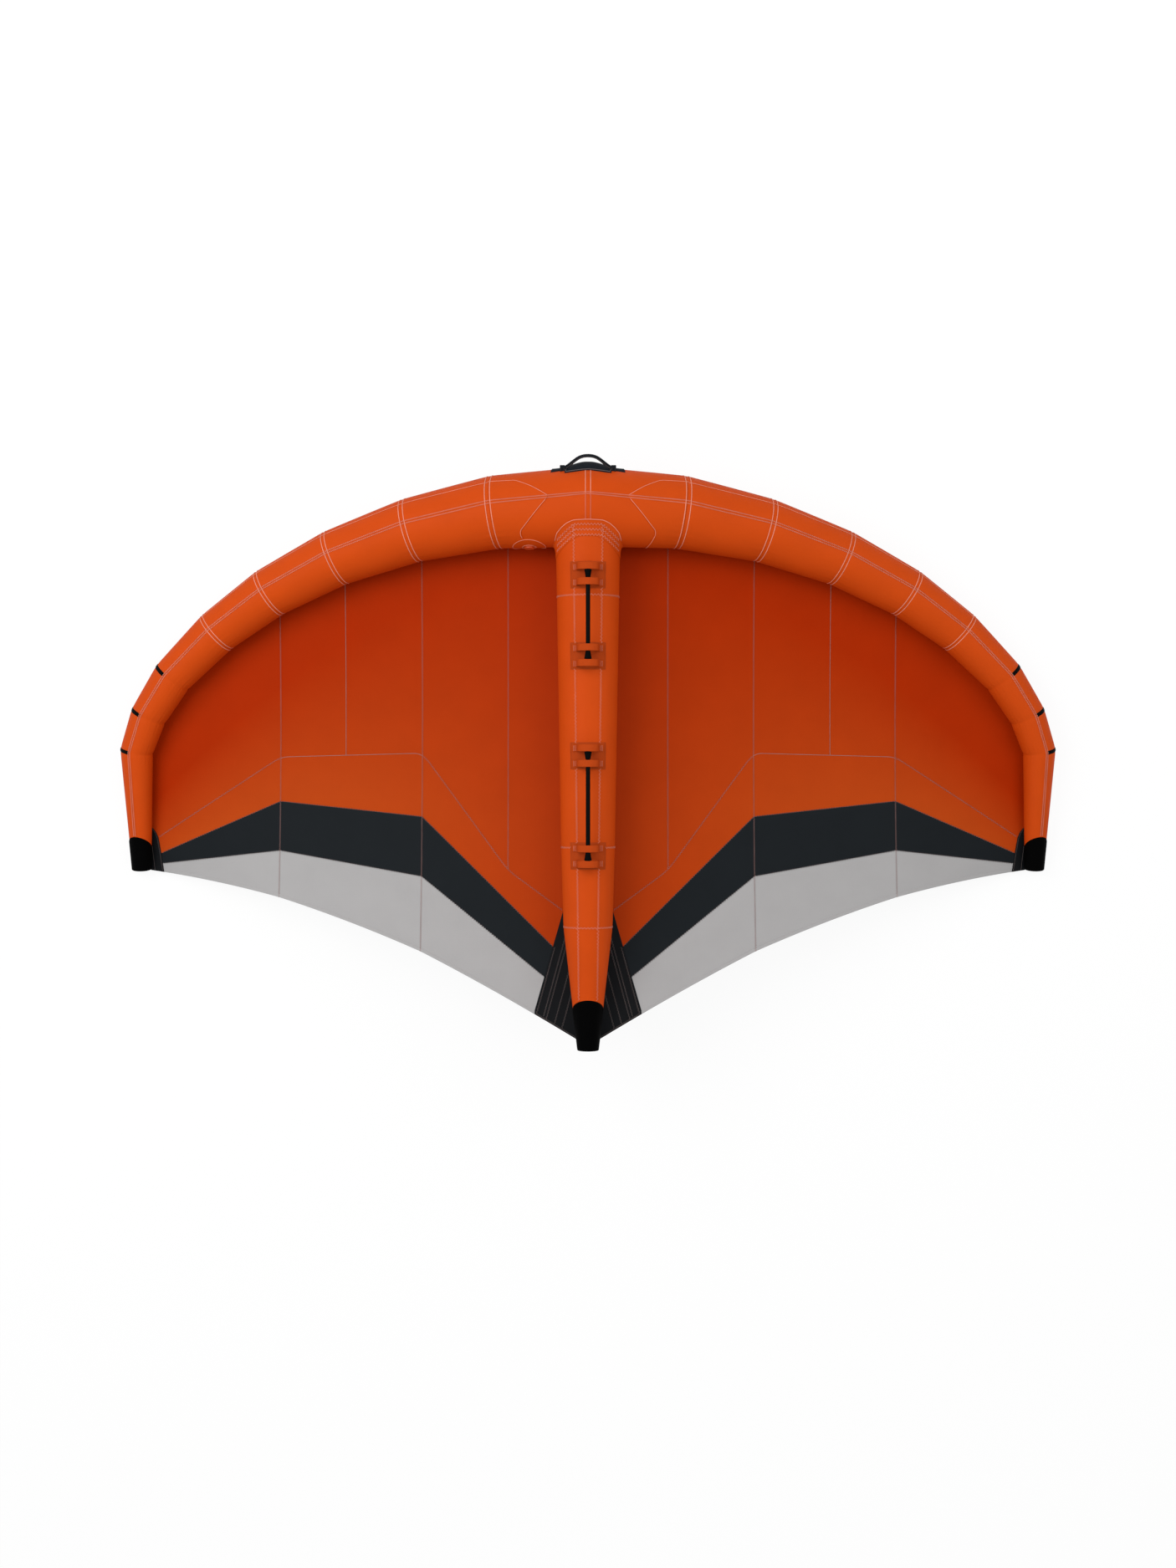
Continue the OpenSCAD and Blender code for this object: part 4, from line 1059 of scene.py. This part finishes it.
def canopy():
    """One continuous sheet from tip to tip: the panels' colours meet at its seams."""
    stops = np.unique(np.concatenate([ATTACH[:, 0], [0, SEAM_B, SEAM_A, SEAM_C, SEAM_D, TIP_X]]))
    xs = [0.0]
    for a, c in zip(stops[:-1], stops[1:]):
        n = max(1, int(math.ceil((c - a) / 0.014)))
        xs += list(a + (c - a) * np.arange(1, n + 1) / n)
    xs = np.array(xs)
    xs = np.concatenate([-xs[:0:-1], xs])
    ax = np.abs(xs)
    lines = zone_lines(ax)
    rows = (64, 22, 14, 14)
    b = Build()
    for zone, n in enumerate(rows):
        t = np.linspace(0, 1, n + 1)
        y = lines[zone][:, None] * (1 - t) + lines[zone + 1][:, None] * t
        x = np.broadcast_to(xs[:, None], y.shape)
        p = np.stack([x, y, sheet_z(x, y)], -1)
        b.grid(p, uv=np.stack([x, y], -1), flip=True, mat=zone)
        fold = tip_fold(p[-1])
        split = int(np.sum(p[-1][:, 1] > te_y(TIP_X) + TIP_PATCH_L))
        for part, mat in ((slice(0, split + 1), zone), (slice(split, n + 1), 4)):
            if fold[:, part].shape[1] > 1:
                q = fold[:, part]
                b.sheet(q, flip=True, mat=mat)
                b.grid(mirror_x(q), uv=uv_metres(q), mat=mat)
    colours = [CANOPY_ORANGE, CANOPY_DEEP, CANOPY_NAVY, CANOPY_PALE, BLACK_CLOTH]
    nodes = [f"canopy_{zone}_{k}" for zone, last in (("front", 5), ("rear", 3), ("stripe", 3), ("edge", 3))
             for k in range(1, last + 1)]
    return b.piece("canopy", colours, "canopy_orange", *nodes, weld=0.00005, thick=(0.0006, 0))


def on_canopy(x, y, off=0.0004, under=False):
    x, y = spread_out(x, y)
    ax = np.abs(x)
    z = sheet_z(x, y)
    e = 0.004
    zx = (canopy_z(ax + e, y) - canopy_z(ax, y)) / e * np.sign(np.where(x == 0, 1, x))
    zy = (canopy_z(ax, y + e) - canopy_z(ax, y)) / e
    n = unit(np.stack([-zx, -zy, np.ones_like(z)], -1)) * (-1 if under else 1)
    return np.stack([x, y, z], -1) + n * off, n


def canopy_stitching():
    """Seams of the canopy, on both of its faces."""
    on_orange, on_dark = Build(), Build()
    for under in (False, True):
        def seam(b, x, y, zigzag=True):
            p, n = on_canopy(x, y, 0.0006, under)
            if zigzag:
                zigzag_stitch(b, p, n, width=0.0045, period=0.0085, radius=0.0007)
            else:
                straight_stitch(b, p, n, width=0.0016)

        for x, back, zigzag in ((SEAM_B, panel_seam, True), (SEAM_A, te_y, True),
                                (SEAM_C, panel_seam, False), (SEAM_D, te_y, True)):
            seam(on_orange, np.full(60, x), np.linspace(attach_y(x) - 0.01, back(x), 60), zigzag)
        for start, end, count, zigzag in ((0.084, SEAM_A, 80, True), (SEAM_A, SEAM_D, 60, False),
                                          (SEAM_D, TIP_X - 0.034, 60, True)):
            x = np.linspace(start, end, count)
            seam(on_orange, x, panel_seam(x), zigzag)
        for start, line in ((0.116, stripe_top), (0.143, stripe_bottom)):
            x = np.concatenate([np.linspace(start, SEAM_A, 60), np.linspace(SEAM_A, SEAM_D, 50)[1:],
                                np.linspace(SEAM_D, TIP_X - 0.043, 50)[1:]])
            seam(on_dark, x, line(x))
    on_orange.mirrored().piece("canopy_seam_stitching", PALE_THREAD, "canopy_orange")
    on_dark.mirrored().piece("stripe_stitching", GREY_THREAD, "canopy_orange")


# Corner patches at the strut's tail, on each side of it: inner edge, front corner and outer corner
CORNER_IN = 0.020
CORNER_APEX = (0.39 * STRUT_FRONT_D, -0.747 * STRUT_LENGTH)
CORNER_OUT = 0.84 * STRUT_FRONT_D
# Stitch rows beside a corner patch's outer edge: distance from it, and how far ahead of the apex they start
CORNER_ROWS = ((0.006, 0.12), (0.031, 0.05), (0.042, 0.07), (0.073, 0.004), (0.101, 0.004))
ON_PATCH = 0.0022        # height of stitches that lie on a patch


def corner_patches():
    apex_x, apex_y = CORNER_APEX

    def front(x):
        slope = (te_y(np.array(CORNER_OUT)) + 0.012 - apex_y) / (CORNER_OUT - apex_x)
        return np.where(x < apex_x, apex_y, apex_y + slope * (x - apex_x))

    xs = np.unique(np.concatenate([np.linspace(CORNER_IN, apex_x, 12), np.linspace(apex_x, CORNER_OUT, 26)]))
    t = np.linspace(0, 1, 50)
    y = front(xs)[:, None] * (1 - t) + te_y(xs)[:, None] * t
    p = on_canopy(np.broadcast_to(xs[:, None], y.shape), y, 0.0012)[0]
    b = Build()
    b.sheet(p, flip=True)
    b.mirrored().piece("corner_patches", BLACK_CLOTH, "black_cloth", "corner_reinforcements", thick=PATCH_THICK)
    s = Build()
    y_out = float(te_y(np.array(CORNER_OUT)))
    for inset, ahead in CORNER_ROWS:
        y = np.linspace(apex_y - ahead, y_out - 0.08, 90)
        x = apex_x + (CORNER_OUT - apex_x) * (apex_y - y) / (apex_y - y_out) - inset
        keep = (x > CORNER_IN + 0.004) & (y > te_y(np.maximum(x, 0)) + 0.006)
        zigzag_stitch(s, *on_canopy(x[keep], y[keep], ON_PATCH), width=0.0048, period=0.0100, radius=0.0009)
    x = np.linspace(CORNER_IN + 0.006, CORNER_OUT - 0.004, 60)
    zigzag_stitch(s, *on_canopy(x, te_y(x) + 0.005, ON_PATCH), width=0.003, period=0.006, radius=0.0008)
    s.mirrored().piece("corner_stitching", GREY_THREAD, "black_cloth")


# Inner edge of each tip patch: height over the trailing edge, and distance from the middle
TIP_PATCH_RISE = (0, 0.062, 0.113, 0.130, 0.141, TIP_PATCH_L)
TIP_PATCH_X = (1.435, 1.4445, 1.4535, 1.461, 1.470, 1.480)


def tip_patches():
    rise = np.linspace(0, TIP_PATCH_L, 50)
    inner = np.interp(rise, TIP_PATCH_RISE, TIP_PATCH_X)
    x = inner[:, None] + (TIP_X - 0.001 - inner)[:, None] * np.linspace(0, 1, 12)
    p = on_canopy(x, te_y(x) + rise[:, None], 0.0012)[0]
    b = Build()
    b.sheet(p)
    b.mirrored().piece("tip_patches", BLACK_CLOTH, "canopy_navy", "tip_reinforcements", thick=PATCH_THICK)
    s = Build()
    x = inner + 0.004
    zigzag_stitch(s, *on_canopy(x, te_y(x) + rise, ON_PATCH), width=0.0025, period=0.006, radius=0.0006)
    x = TIP_X - 0.016 + 0.107 * rise
    straight_stitch(s, *on_canopy(x[:28], (te_y(x) + rise)[:28], 0.0014), width=0.0014)
    s.mirrored().piece("tip_patch_stitching", GREY_THREAD, "canopy_navy")


def trailing_edge_hem():
    xs = np.linspace(CORNER_OUT + 0.002, TIP_X * 0.9665 - 0.002, 150)
    xs = np.unique(np.concatenate([xs, [SEAM_A, SEAM_D]]))
    across = np.linspace(0, 1, 6)
    y = te_y(xs)[:, None] + 0.011 * across[None, :]
    lift = 0.0006 + 0.0007 * np.sin(across * math.pi) ** 0.5
    p = on_canopy(np.broadcast_to(xs[:, None], y.shape), y, np.broadcast_to(lift, y.shape)[..., None])[0]
    b = Build()
    b.sheet(p)
    b.mirrored().piece("hem", CANOPY_PALE, "canopy_pale", "trailing_edge_hem")


# ---- strut handles
def strap(build, path, normals, width_way, width, thickness):
    """A flat strap along a path: a rounded oblong section, width_way across it."""
    p = np.asarray(path, float)
    a = np.linspace(0, 2 * math.pi, 20, endpoint=False)
    cx = np.sign(np.cos(a)) * np.abs(np.cos(a)) ** 0.35 * width / 2
    cz = np.sign(np.sin(a)) * np.abs(np.sin(a)) ** 0.6 * thickness / 2
    ring = p[:, None] + cx[None, :, None] * width_way + cz[None, :, None] * normals[:, None]
    uv = uv_metres(ring)
    uv[..., 1] = cx[None, :] * np.ones((len(p), 1))
    build.grid(ring, uv=uv, closed_v=True)
    build.cap(ring[0])
    build.cap(ring[-1], flip=True)


FOOT_END = 0.0495        # where an arch's feet end, and where its legs stand, from the middle
LEG_X = 0.0365
LEG_FILLET = 0.0015
FOOT_STITCHES = (0.0388, 0.0447)


def arch_path(y, h):
    """An arch's middle line from foot to foot: round over the bar, with legs that come in at the foot."""
    surface = float(strut_r(y)) + PAD_T + FIT + WEBBING_T / 2
    zc = hinge_z(h)
    r = ARCH_R + WEBBING_T / 2
    pts = [(x, math.sqrt(surface ** 2 - x ** 2)) for x in np.linspace(FOOT_END, LEG_X + LEG_FILLET, 5)]
    start = np.array([LEG_X, math.sqrt(surface ** 2 - LEG_X ** 2)])
    end = np.array([r * cosd(50), zc + r * sind(50)])
    corner = np.array([LEG_X, end[1] - (LEG_X - end[0]) / math.tan(math.radians(50))])
    for t in np.linspace(0.06, 1, 14):
        p = (1 - t) ** 2 * start + 2 * t * (1 - t) * corner + t ** 2 * end
        pts.append((p[0] + LEG_FILLET * (1 - t) ** 12, p[1]))
    for a in np.linspace(50, 90, 12)[1:]:
        pts.append((r * cosd(a), zc + r * sind(a)))
    pts = np.array(pts)
    full = np.vstack([pts, (pts * [-1, 1])[::-1][1:]])
    return np.stack([full[:, 0], np.full(len(full), y), full[:, 1]], -1)


def handle_pads():
    b, s = Build(), Build()
    for y0 in PADS:
        y = np.linspace(y0 + PAD_L / 2, y0 - PAD_L / 2, 22)
        half = np.degrees(np.arcsin(PAD_W / 2 / strut_r(y0)))
        a = np.linspace(90 - half, 90 + half, 40)
        ey = np.clip(1 - np.abs(y - y0) / (PAD_L / 2), 0, 1)
        ea = np.clip(1 - np.abs(a - 90) / half, 0, 1)
        edge = np.minimum(np.clip(ey * 22, 0, 1)[:, None], np.clip(ea * 28, 0, 1)[None, :])
        p = on_strut(y[:, None], a[None, :], 0.0003 + (PAD_T - 0.0004) * np.sqrt(edge))[0]
        b.sheet(p, flip=True)
        inset = 0.0035
        dy, da = PAD_L / 2 - inset, half * (1 - inset / (PAD_W / 2)) / 1000
        corners = [(y0 + i * dy, 0.09 + j * da) for i, j in ((1, -1), (1, 1), (-1, 1), (-1, -1), (1, -1))]
        for edge in zip(corners[:-1], corners[1:]):
            y, a = polyline(edge, 0.002)
            straight_stitch(s, *on_strut(y, a * 1000, PAD_T), width=0.0012, height=0.0003)
    b.piece("handle_pad_cloth", PAD_WEBBING, "orange_webbing", "handle_pads")
    s.piece("pad_stitching", DARK_THREAD, "orange_webbing")


def arches():
    for h, name in ((0, "front_arches"), (1, "rear_arches")):
        b, s = Build(), Build()
        for pad in (0, 1):
            for e in (-1, 1):
                y = PADS[2 * h + pad] + e * ARCH_PITCH / 2
                path = arch_path(y, h)
                t = unit(np.gradient(path, axis=0))
                normal = np.cross([0, 1, 0], t)
                strap(b, path, normal, np.array([0, 1.0, 0]), ARCH_W, WEBBING_T)
                for side in (-1, 1):
                    for x in np.array(FOOT_STITCHES) * side:
                        z = math.sqrt((float(strut_r(y)) + PAD_T + FIT + WEBBING_T) ** 2 - x * x) + 0.0002
                        yy = np.linspace(y - ARCH_W / 2 + 0.002, y + ARCH_W / 2 - 0.002, 8)
                        line = np.stack([np.full(8, x), yy, np.full(8, z)], -1)
                        up = np.broadcast_to(unit(np.array([x, 0, z])), line.shape)
                        zigzag_stitch(s, line, up, width=0.0030, period=0.0030, radius=0.0009, lift=0.0003)
        b.piece(name + "_webbing", WEBBING, "orange_webbing", name)
        s.piece(name + "_stitching", THREAD, "orange_webbing")


def lathe(build, stations, origin, way, side):
    """A turned shape: stations of (distance along way, radius)."""
    a = np.radians(np.arange(40) * 360 / 40)
    turn = np.cos(a)[:, None] * side + np.sin(a)[:, None] * np.array([0, 0, 1.0])
    grid = np.array([origin + d * way + r * turn for d, r in stations])
    build.sheet(grid, closed_v=True)


def handle_bars():
    way, side = np.array([0, -1.0, 0]), np.array([1.0, 0, 0])
    reach = (ARCH_PITCH + ARCH_W) / 2 - 0.002      # from the middle of a pad to the bar's end
    cone = ARCH_PITCH - ARCH_W - 0.002             # length of a stop, between its two arches
    wide, narrow = STOP_D / 2, BAR_R + 0.0008
    for h, name in enumerate(("front_handle", "rear_handle")):
        start = PADS[2 * h] + reach
        length = start - (PADS[2 * h + 1] - reach)
        b = Build()
        st = [(0.0, 0.001), (0.0, BAR_R - 0.0012), (0.0008, BAR_R - 0.0003), (0.002, BAR_R)]
        st += [(d, BAR_R) for d in np.linspace(0.02, length - 0.02, 24)]
        st += [(length - d, r) for d, r in st[3::-1]]
        lathe(b, st, np.array([0, start, bar_z(h)]), way, side)
        b.piece(name + "_bar_grip", BAR_GRIP, "bar_tube", name + "_bar", body=name)
        b = Build()
        for end, turn in ((0, 1), (1, -1)):
            origin = np.array([0, PADS[2 * h + end], bar_z(h)]) - way * turn * cone / 2
            st = [(0, BAR_R + 0.0001), (0, wide - 0.001), (0.0007, wide - 0.0003), (0.0018, wide)]
            st += [(0.0018 + (cone - 0.0030) * t, wide + (narrow - wide) * t ** 0.85)
                   for t in np.linspace(0.08, 1, 14)]
            st += [(cone, narrow - 0.0004), (cone, BAR_R + 0.0001)]
            lathe(b, st, origin, way * turn, side * turn)
        b.piece(name + "_stop_cones", STOP_RUBBER, "stop_rubber", name + "_stops", body=name)


# ---- nose handle
BASE_T = 0.003
LOOP_R = LOOP_D / 2


def keeper_spot():
    share = KEEPER_X / LE_AXIS[1, 0]
    r0 = polygon_radius(LE_R[0], FOOT_ANGLE) - LE_R[0]
    r1 = polygon_radius(LE_R[1], FOOT_ANGLE) - LE_R[1]
    off = FIT + BASE_T + LOOP_R + 0.003
    a = np.array(float(FOOT_ANGLE))
    return (1 - share) * le_ring(0, a, np.array(r0 + off)) + share * le_ring(1, a, np.array(r1 + off))


LOOP_FOOT = np.array([0, 1, 1]) * keeper_spot()
LOOP_WAY = np.array([0, math.cos(LOOP_LEAN), math.sin(LOOP_LEAN)])


BASE_HALF = KEEPER_X - 0.012
TAIL_L = 0.0415
# Right half of the loop: millimetres from the middle, and share of its height
LOOP_SHAPE = ((90, 0), (73, 0), (69, 0.06), (62, 0.18), (50, 0.43), (40, 0.64), (30, 0.82), (20, 0.93),
              (10, 0.985), (0, 1))


def nose_patch(xs, lo, hi, height, rows=33):
    """Points of a patch on the front of the nose: xs across, lo to hi round the tube at each of them."""
    a = lo[:, None] + (hi - lo)[:, None] * np.linspace(0, 1, rows)
    p = le_surface(np.abs(xs)[:, None] / LE_AXIS[1, 0] * np.ones_like(a), a, height(xs[:, None], a))
    p[..., 0] *= np.where(xs < 0, -1, 1)[:, None]
    return p


def rolled(share, steepness):
    """1 inside, falling to 0 at the ends of 0..1, as a rolled edge does."""
    return np.sqrt(np.clip(np.minimum(share, 1 - share) * steepness, 0, 1))


def nose_rim(x):
    return 32 + 4 * np.minimum(1, np.abs(x) / 0.060)


def nose_base_height(x, a):
    share = (a + 30) / (nose_rim(x) + 30)
    mound = np.clip(np.sin(np.pi * np.clip(share, 0, 1)), 0, 1) ** 1.35 * (1 - (x / BASE_HALF) ** 2)
    edge = np.minimum(rolled((x / BASE_HALF + 1) / 2, 34), rolled(share, 20))
    return 0.0003 + BASE_T * edge + PAD_CROWN * mound


def nose_pad(rim):
    """Padded base: a crowned pad with a piped rim, and a flat tail on each side."""
    b = Build()
    xs = np.linspace(-BASE_HALF, BASE_HALF, 81)
    p = nose_patch(xs, np.full(len(xs), -30.0), nose_rim(xs), nose_base_height)
    b.sheet(p, flip=True)
    for side in (-1, 1):
        xs = side * np.linspace(BASE_HALF - 0.003, BASE_HALF + TAIL_L, 16)
        share = np.linspace(0, 1, 16)

        def flat(x, a):
            sides, ends = rolled(share, 16)[:, None], rolled((a + 15) / (a[:, -1:] + 15), 14)
            return 0.0003 + 0.0026 * np.minimum(sides, ends)

        q = nose_patch(xs, np.full(16, -15.0), 26 + 4 * share, flat, rows=14)
        b.sheet(q, flip=side > 0)
    b.piece("nose_handle_pad", NOSE_CLOTH, "nose_handle_webbing", "nose_handle_base")
    # piping along the pad's two sides and its rear edge
    inset = BASE_HALF - 0.0035
    corners = np.array([(-inset, 0.0), (-inset, 0.034), (0, 0.0305), (inset, 0.034), (inset, 0.0)])
    x, a = polyline(corners, 0.003)
    a = a * 1000
    path = le_surface(np.abs(x) / LE_AXIS[1, 0], a, nose_base_height(x, a) + 0.0005)
    way = le_out(np.abs(x) / LE_AXIS[1, 0], a)
    for v in (path, way):
        v[:, 0] *= np.where(x < 0, -1, 1)
    tube(rim, path, way, 0.0012, sides=8)


def nose_loop():
    """The loop, with a painted highlight: a thin grey cord along its outer side."""
    b = Build()
    half = np.array(LOOP_SHAPE, float) * [0.001, 1]
    half[:, 0] *= KEEPER_X / 0.082
    knots = np.vstack([half, (half * [-1, 1])[::-1][1:]])
    d = np.concatenate([[0], np.cumsum(np.linalg.norm(np.diff(knots * [1, LOOP_H], axis=0), axis=1))])
    tt = np.linspace(0, d[-1], 160)
    kernel = np.hanning(13) / np.hanning(13).sum()

    def smooth(v):
        """Smoothed, with both of its ends kept in place."""
        longer = np.concatenate([2 * v[0] - v[6:0:-1], v, 2 * v[-1] - v[-2:-8:-1]])
        return np.convolve(longer, kernel, "valid")

    x, rise = (smooth(np.interp(tt, d, knots[:, c])) for c in (0, 1))
    path = x[:, None] * np.array([1.0, 0, 0]) + LOOP_FOOT + (rise * LOOP_H)[:, None] * LOOP_WAY
    side = np.broadcast_to(np.cross([1, 0, 0], LOOP_WAY), path.shape)
    tube(b, path, side, LOOP_R * (1 + 0.02 * np.sin(tt * 1400)), sides=20)
    b.piece("nose_handle_cord", NOSE_WEBBING, "nose_handle_webbing", "nose_handle_loop", body="nose_handle")
    # Painted highlight: a thin grey cord along the loop's upper side stands in for the light caught there.
    b = Build()
    top = side * np.sign(side[0, 2])
    tube(b, path[14:-14] + top[14:-14] * LOOP_R, top[14:-14], 0.0006, sides=6)
    b.piece("nose_handle_cord_painted_highlight", GREY_THREAD, "nose_handle_webbing", body="nose_handle")


def nose_keepers(rim):
    """A webbing sleeve round each end of the loop, with its tail sewn to the pad."""
    b = Build()
    out = unit(np.array([0, LOOP_FOOT[1], LOOP_FOOT[2]]))
    tangent = np.array([0, -out[2], out[1]])
    for side in (-1, 1):
        turn = np.radians(np.linspace(-115, 115, 28))[:, None]
        ring = LOOP_FOOT + (LOOP_R + 0.0013) * (np.cos(turn) * out + np.sin(turn) * tangent)
        start = [ring[0] - out * 0.0095 - tangent * 0.004 * (1 - q) for q in (0.0, 0.6)]
        finish = [ring[-1] - out * 0.0095 + tangent * 0.004 * (1 - q) for q in (0.6, 0.0)]
        path = np.vstack([start, ring, finish])
        path[:, 0] = KEEPER_X * side
        normal = np.cross(unit(np.gradient(path, axis=0)), [1.0, 0, 0])
        strap(b, path, normal, np.array([1.0, 0, 0]), 0.015, 0.0018)
        away = normal * np.sign((normal * (path - LOOP_FOOT)).sum(-1, keepdims=True))
        for dx in (-0.0058, 0.0058):
            straight_stitch(rim, path + away * 0.0011 + [dx, 0, 0], away, width=0.0012, height=0.0003)
    b.piece("nose_handle_sleeves", NOSE_WEBBING, "nose_handle_webbing", "nose_handle_keepers")


def nose_handle():
    rim = Build()
    nose_pad(rim)
    nose_loop()
    nose_keepers(rim)
    rim.piece("nose_handle_piping", GREY_THREAD, "nose_handle_webbing")


# ---- valve
def valve():
    share = VALVE_SHARE
    b, s = Build(), Build()
    rad = np.linspace(0.0138, PATCH_R, 16)
    turn = np.radians(np.arange(73) * 5.0)
    r_here = LE_R[0] * (1 - share) + LE_R[1] * share

    def spot(radius):
        return (share + radius * np.cos(turn) / LE_LENGTH[0],
                VALVE_ANGLE - np.degrees(radius * np.sin(turn) / r_here))

    u, a = spot(rad[:, None])
    lift = 0.0003 + 0.0012 * np.clip((PATCH_R - rad) / 0.003, 0.0, 1)[:, None] * np.ones_like(u)
    p = mirror_x(le_surface(u, a, lift))
    b.sheet(p)
    b.piece("valve_patch_cloth", PATCH_CLOTH, "tube_cloth", "valve_patch")
    for radius in (PATCH_R - 0.004, 0.024):
        path, n = on_le(*spot(radius), 0.0016)
        straight_stitch(s, mirror_x(path), mirror_x(n), width=0.0018)
    s.piece("valve_patch_stitching", THREAD, "tube_cloth")


def finish_cad_nodes():
    """The CAD nodes that stay get a material of their own."""
    looks = {"valve_neck": VALVE_PLASTIC, "valve_ring": VALVE_PLASTIC, "valve_cap": VALVE_PLASTIC,
             "valve_flap": FILM, "le_bladder": FILM, "strut_bladder": FILM, "one_pump_connector": STOP_RUBBER}
    for name, material in looks.items():
        obj = frame["nodes"][name]
        obj.data.materials.clear()
        obj.data.materials.append(material)


# ---- stage
CAMERA_HEIGHT = 7.0
AIM_Y = -0.892           # the camera looks straight at this point of the wing's middle line
FLOOR_HALF = 14.0
FLOOR_GLOW = 0.88        # how much of the floor's own white the camera sees, beside its shadows
LAMP_AT = (3.2, 2.0, 4.8)
LAMP_SIZE = 3.5
LAMP_AIM = (0, 0, 0.2)
KEY_POWER, FILL_POWER = 182, 82
WORLD_STRENGTH = 0.72


def camera():
    data = bpy.data.cameras.new("camera")
    data.lens = 50
    data.sensor_width = 36
    data.clip_end = 60
    cam = bpy.data.objects.new("camera", data)
    bpy.context.scene.collection.objects.link(cam)
    place = Vector(to_row(np.array([0, AIM_Y, CAMERA_HEIGHT])))
    right, up, back = (Vector(pitched(np.array(v, float))) for v in ((1, 0, 0), (0, 1, 0), (0, 0, 1)))
    m = Matrix((right, up, back)).transposed().to_4x4()
    m.translation = place
    cam.matrix_world = m
    bpy.context.scene.camera = cam


def lamp(name, side, power):
    data = bpy.data.lights.new(name, "AREA")
    data.size = LAMP_SIZE
    data.energy = power
    obj = bpy.data.objects.new(name, data)
    bpy.context.scene.collection.objects.link(obj)
    obj.location = Vector((side * LAMP_AT[0], *LAMP_AT[1:]))
    obj.rotation_euler = (Vector(LAMP_AIM) - obj.location).to_track_quat("-Z", "Y").to_euler()


def floor():
    """A white floor that looks evenly lit from the camera."""
    mesh = bpy.data.meshes.new("floor")
    far, low = FLOOR_HALF, -0.0005
    corners = [(-far, -far, low), (far, -far, low), (far, far, low), (-far, far, low)]
    mesh.from_pydata(corners, [], [(0, 1, 2, 3)])
    sheet = bpy.data.objects.new("floor", mesh)
    bpy.context.scene.collection.objects.link(sheet)
    m = Nodes("floor")
    m.look(Base_Color=(0.80, 0.80, 0.80, 1), Roughness=0.9, Specular_IOR_Level=0.1)
    glow = m.add("Emission", {"Color": (1, 1, 1, 1), "Strength": 1.03})
    ray = m.add("LightPath").outputs
    indirect = m.math("MAXIMUM", ray["Is Glossy Ray"], ray["Is Transmission Ray"])
    seen = m.math("MAXIMUM", ray["Is Camera Ray"], indirect)
    blend = m.add("MixShader", {0: m.times(seen, FLOOR_GLOW), 1: m.bsdf.outputs[0], 2: glow.outputs[0]})
    m.put(m.out, "Surface", blend.outputs[0])
    mesh.materials.append(m.mat)


def surroundings():
    """A dim world for light, and a white one for the camera and for rays through the film."""
    world = bpy.data.worlds.new("world")
    bpy.context.scene.world = world
    world.use_nodes = True
    nodes, links = world.node_tree.nodes, world.node_tree.links
    nodes.clear()
    out, mixer, ray, either = (nodes.new("ShaderNode" + kind) for kind in
                               ("OutputWorld", "MixShader", "LightPath", "Math"))
    plain, white = nodes.new("ShaderNodeBackground"), nodes.new("ShaderNodeBackground")
    plain.inputs["Strength"].default_value = WORLD_STRENGTH
    white.inputs["Color"].default_value = (1, 1, 1, 1)
    white.inputs["Strength"].default_value = 1.0
    either.operation = "MAXIMUM"
    for source, target in ((ray.outputs["Is Camera Ray"], either.inputs[0]),
                           (ray.outputs["Is Transmission Ray"], either.inputs[1]),
                           (either.outputs[0], mixer.inputs[0]), (plain.outputs[0], mixer.inputs[1]),
                           (white.outputs[0], mixer.inputs[2]), (mixer.outputs[0], out.inputs["Surface"])):
        links.new(source, target)


def stage():
    floor()
    surroundings()
    lamp("key", -1, KEY_POWER)
    lamp("fill", 1, FILL_POWER)
    bpy.context.scene.view_settings.view_transform = "Standard"


# ---- the scene
camera()
le_casing_pieces()
le_stitching()
nose_doublers()
nose_seam()
guard_bands()
tip_caps()
strut_casing_pieces()
strut_cap()
junction_collar()
strut_stitching()
collar_stitching()
sail = canopy()
canopy_stitching()
corner_patches()
tip_patches()
trailing_edge_hem()
handle_pads()
arches()
handle_bars()
nose_handle()
valve()
finish_cad_nodes()
stage()
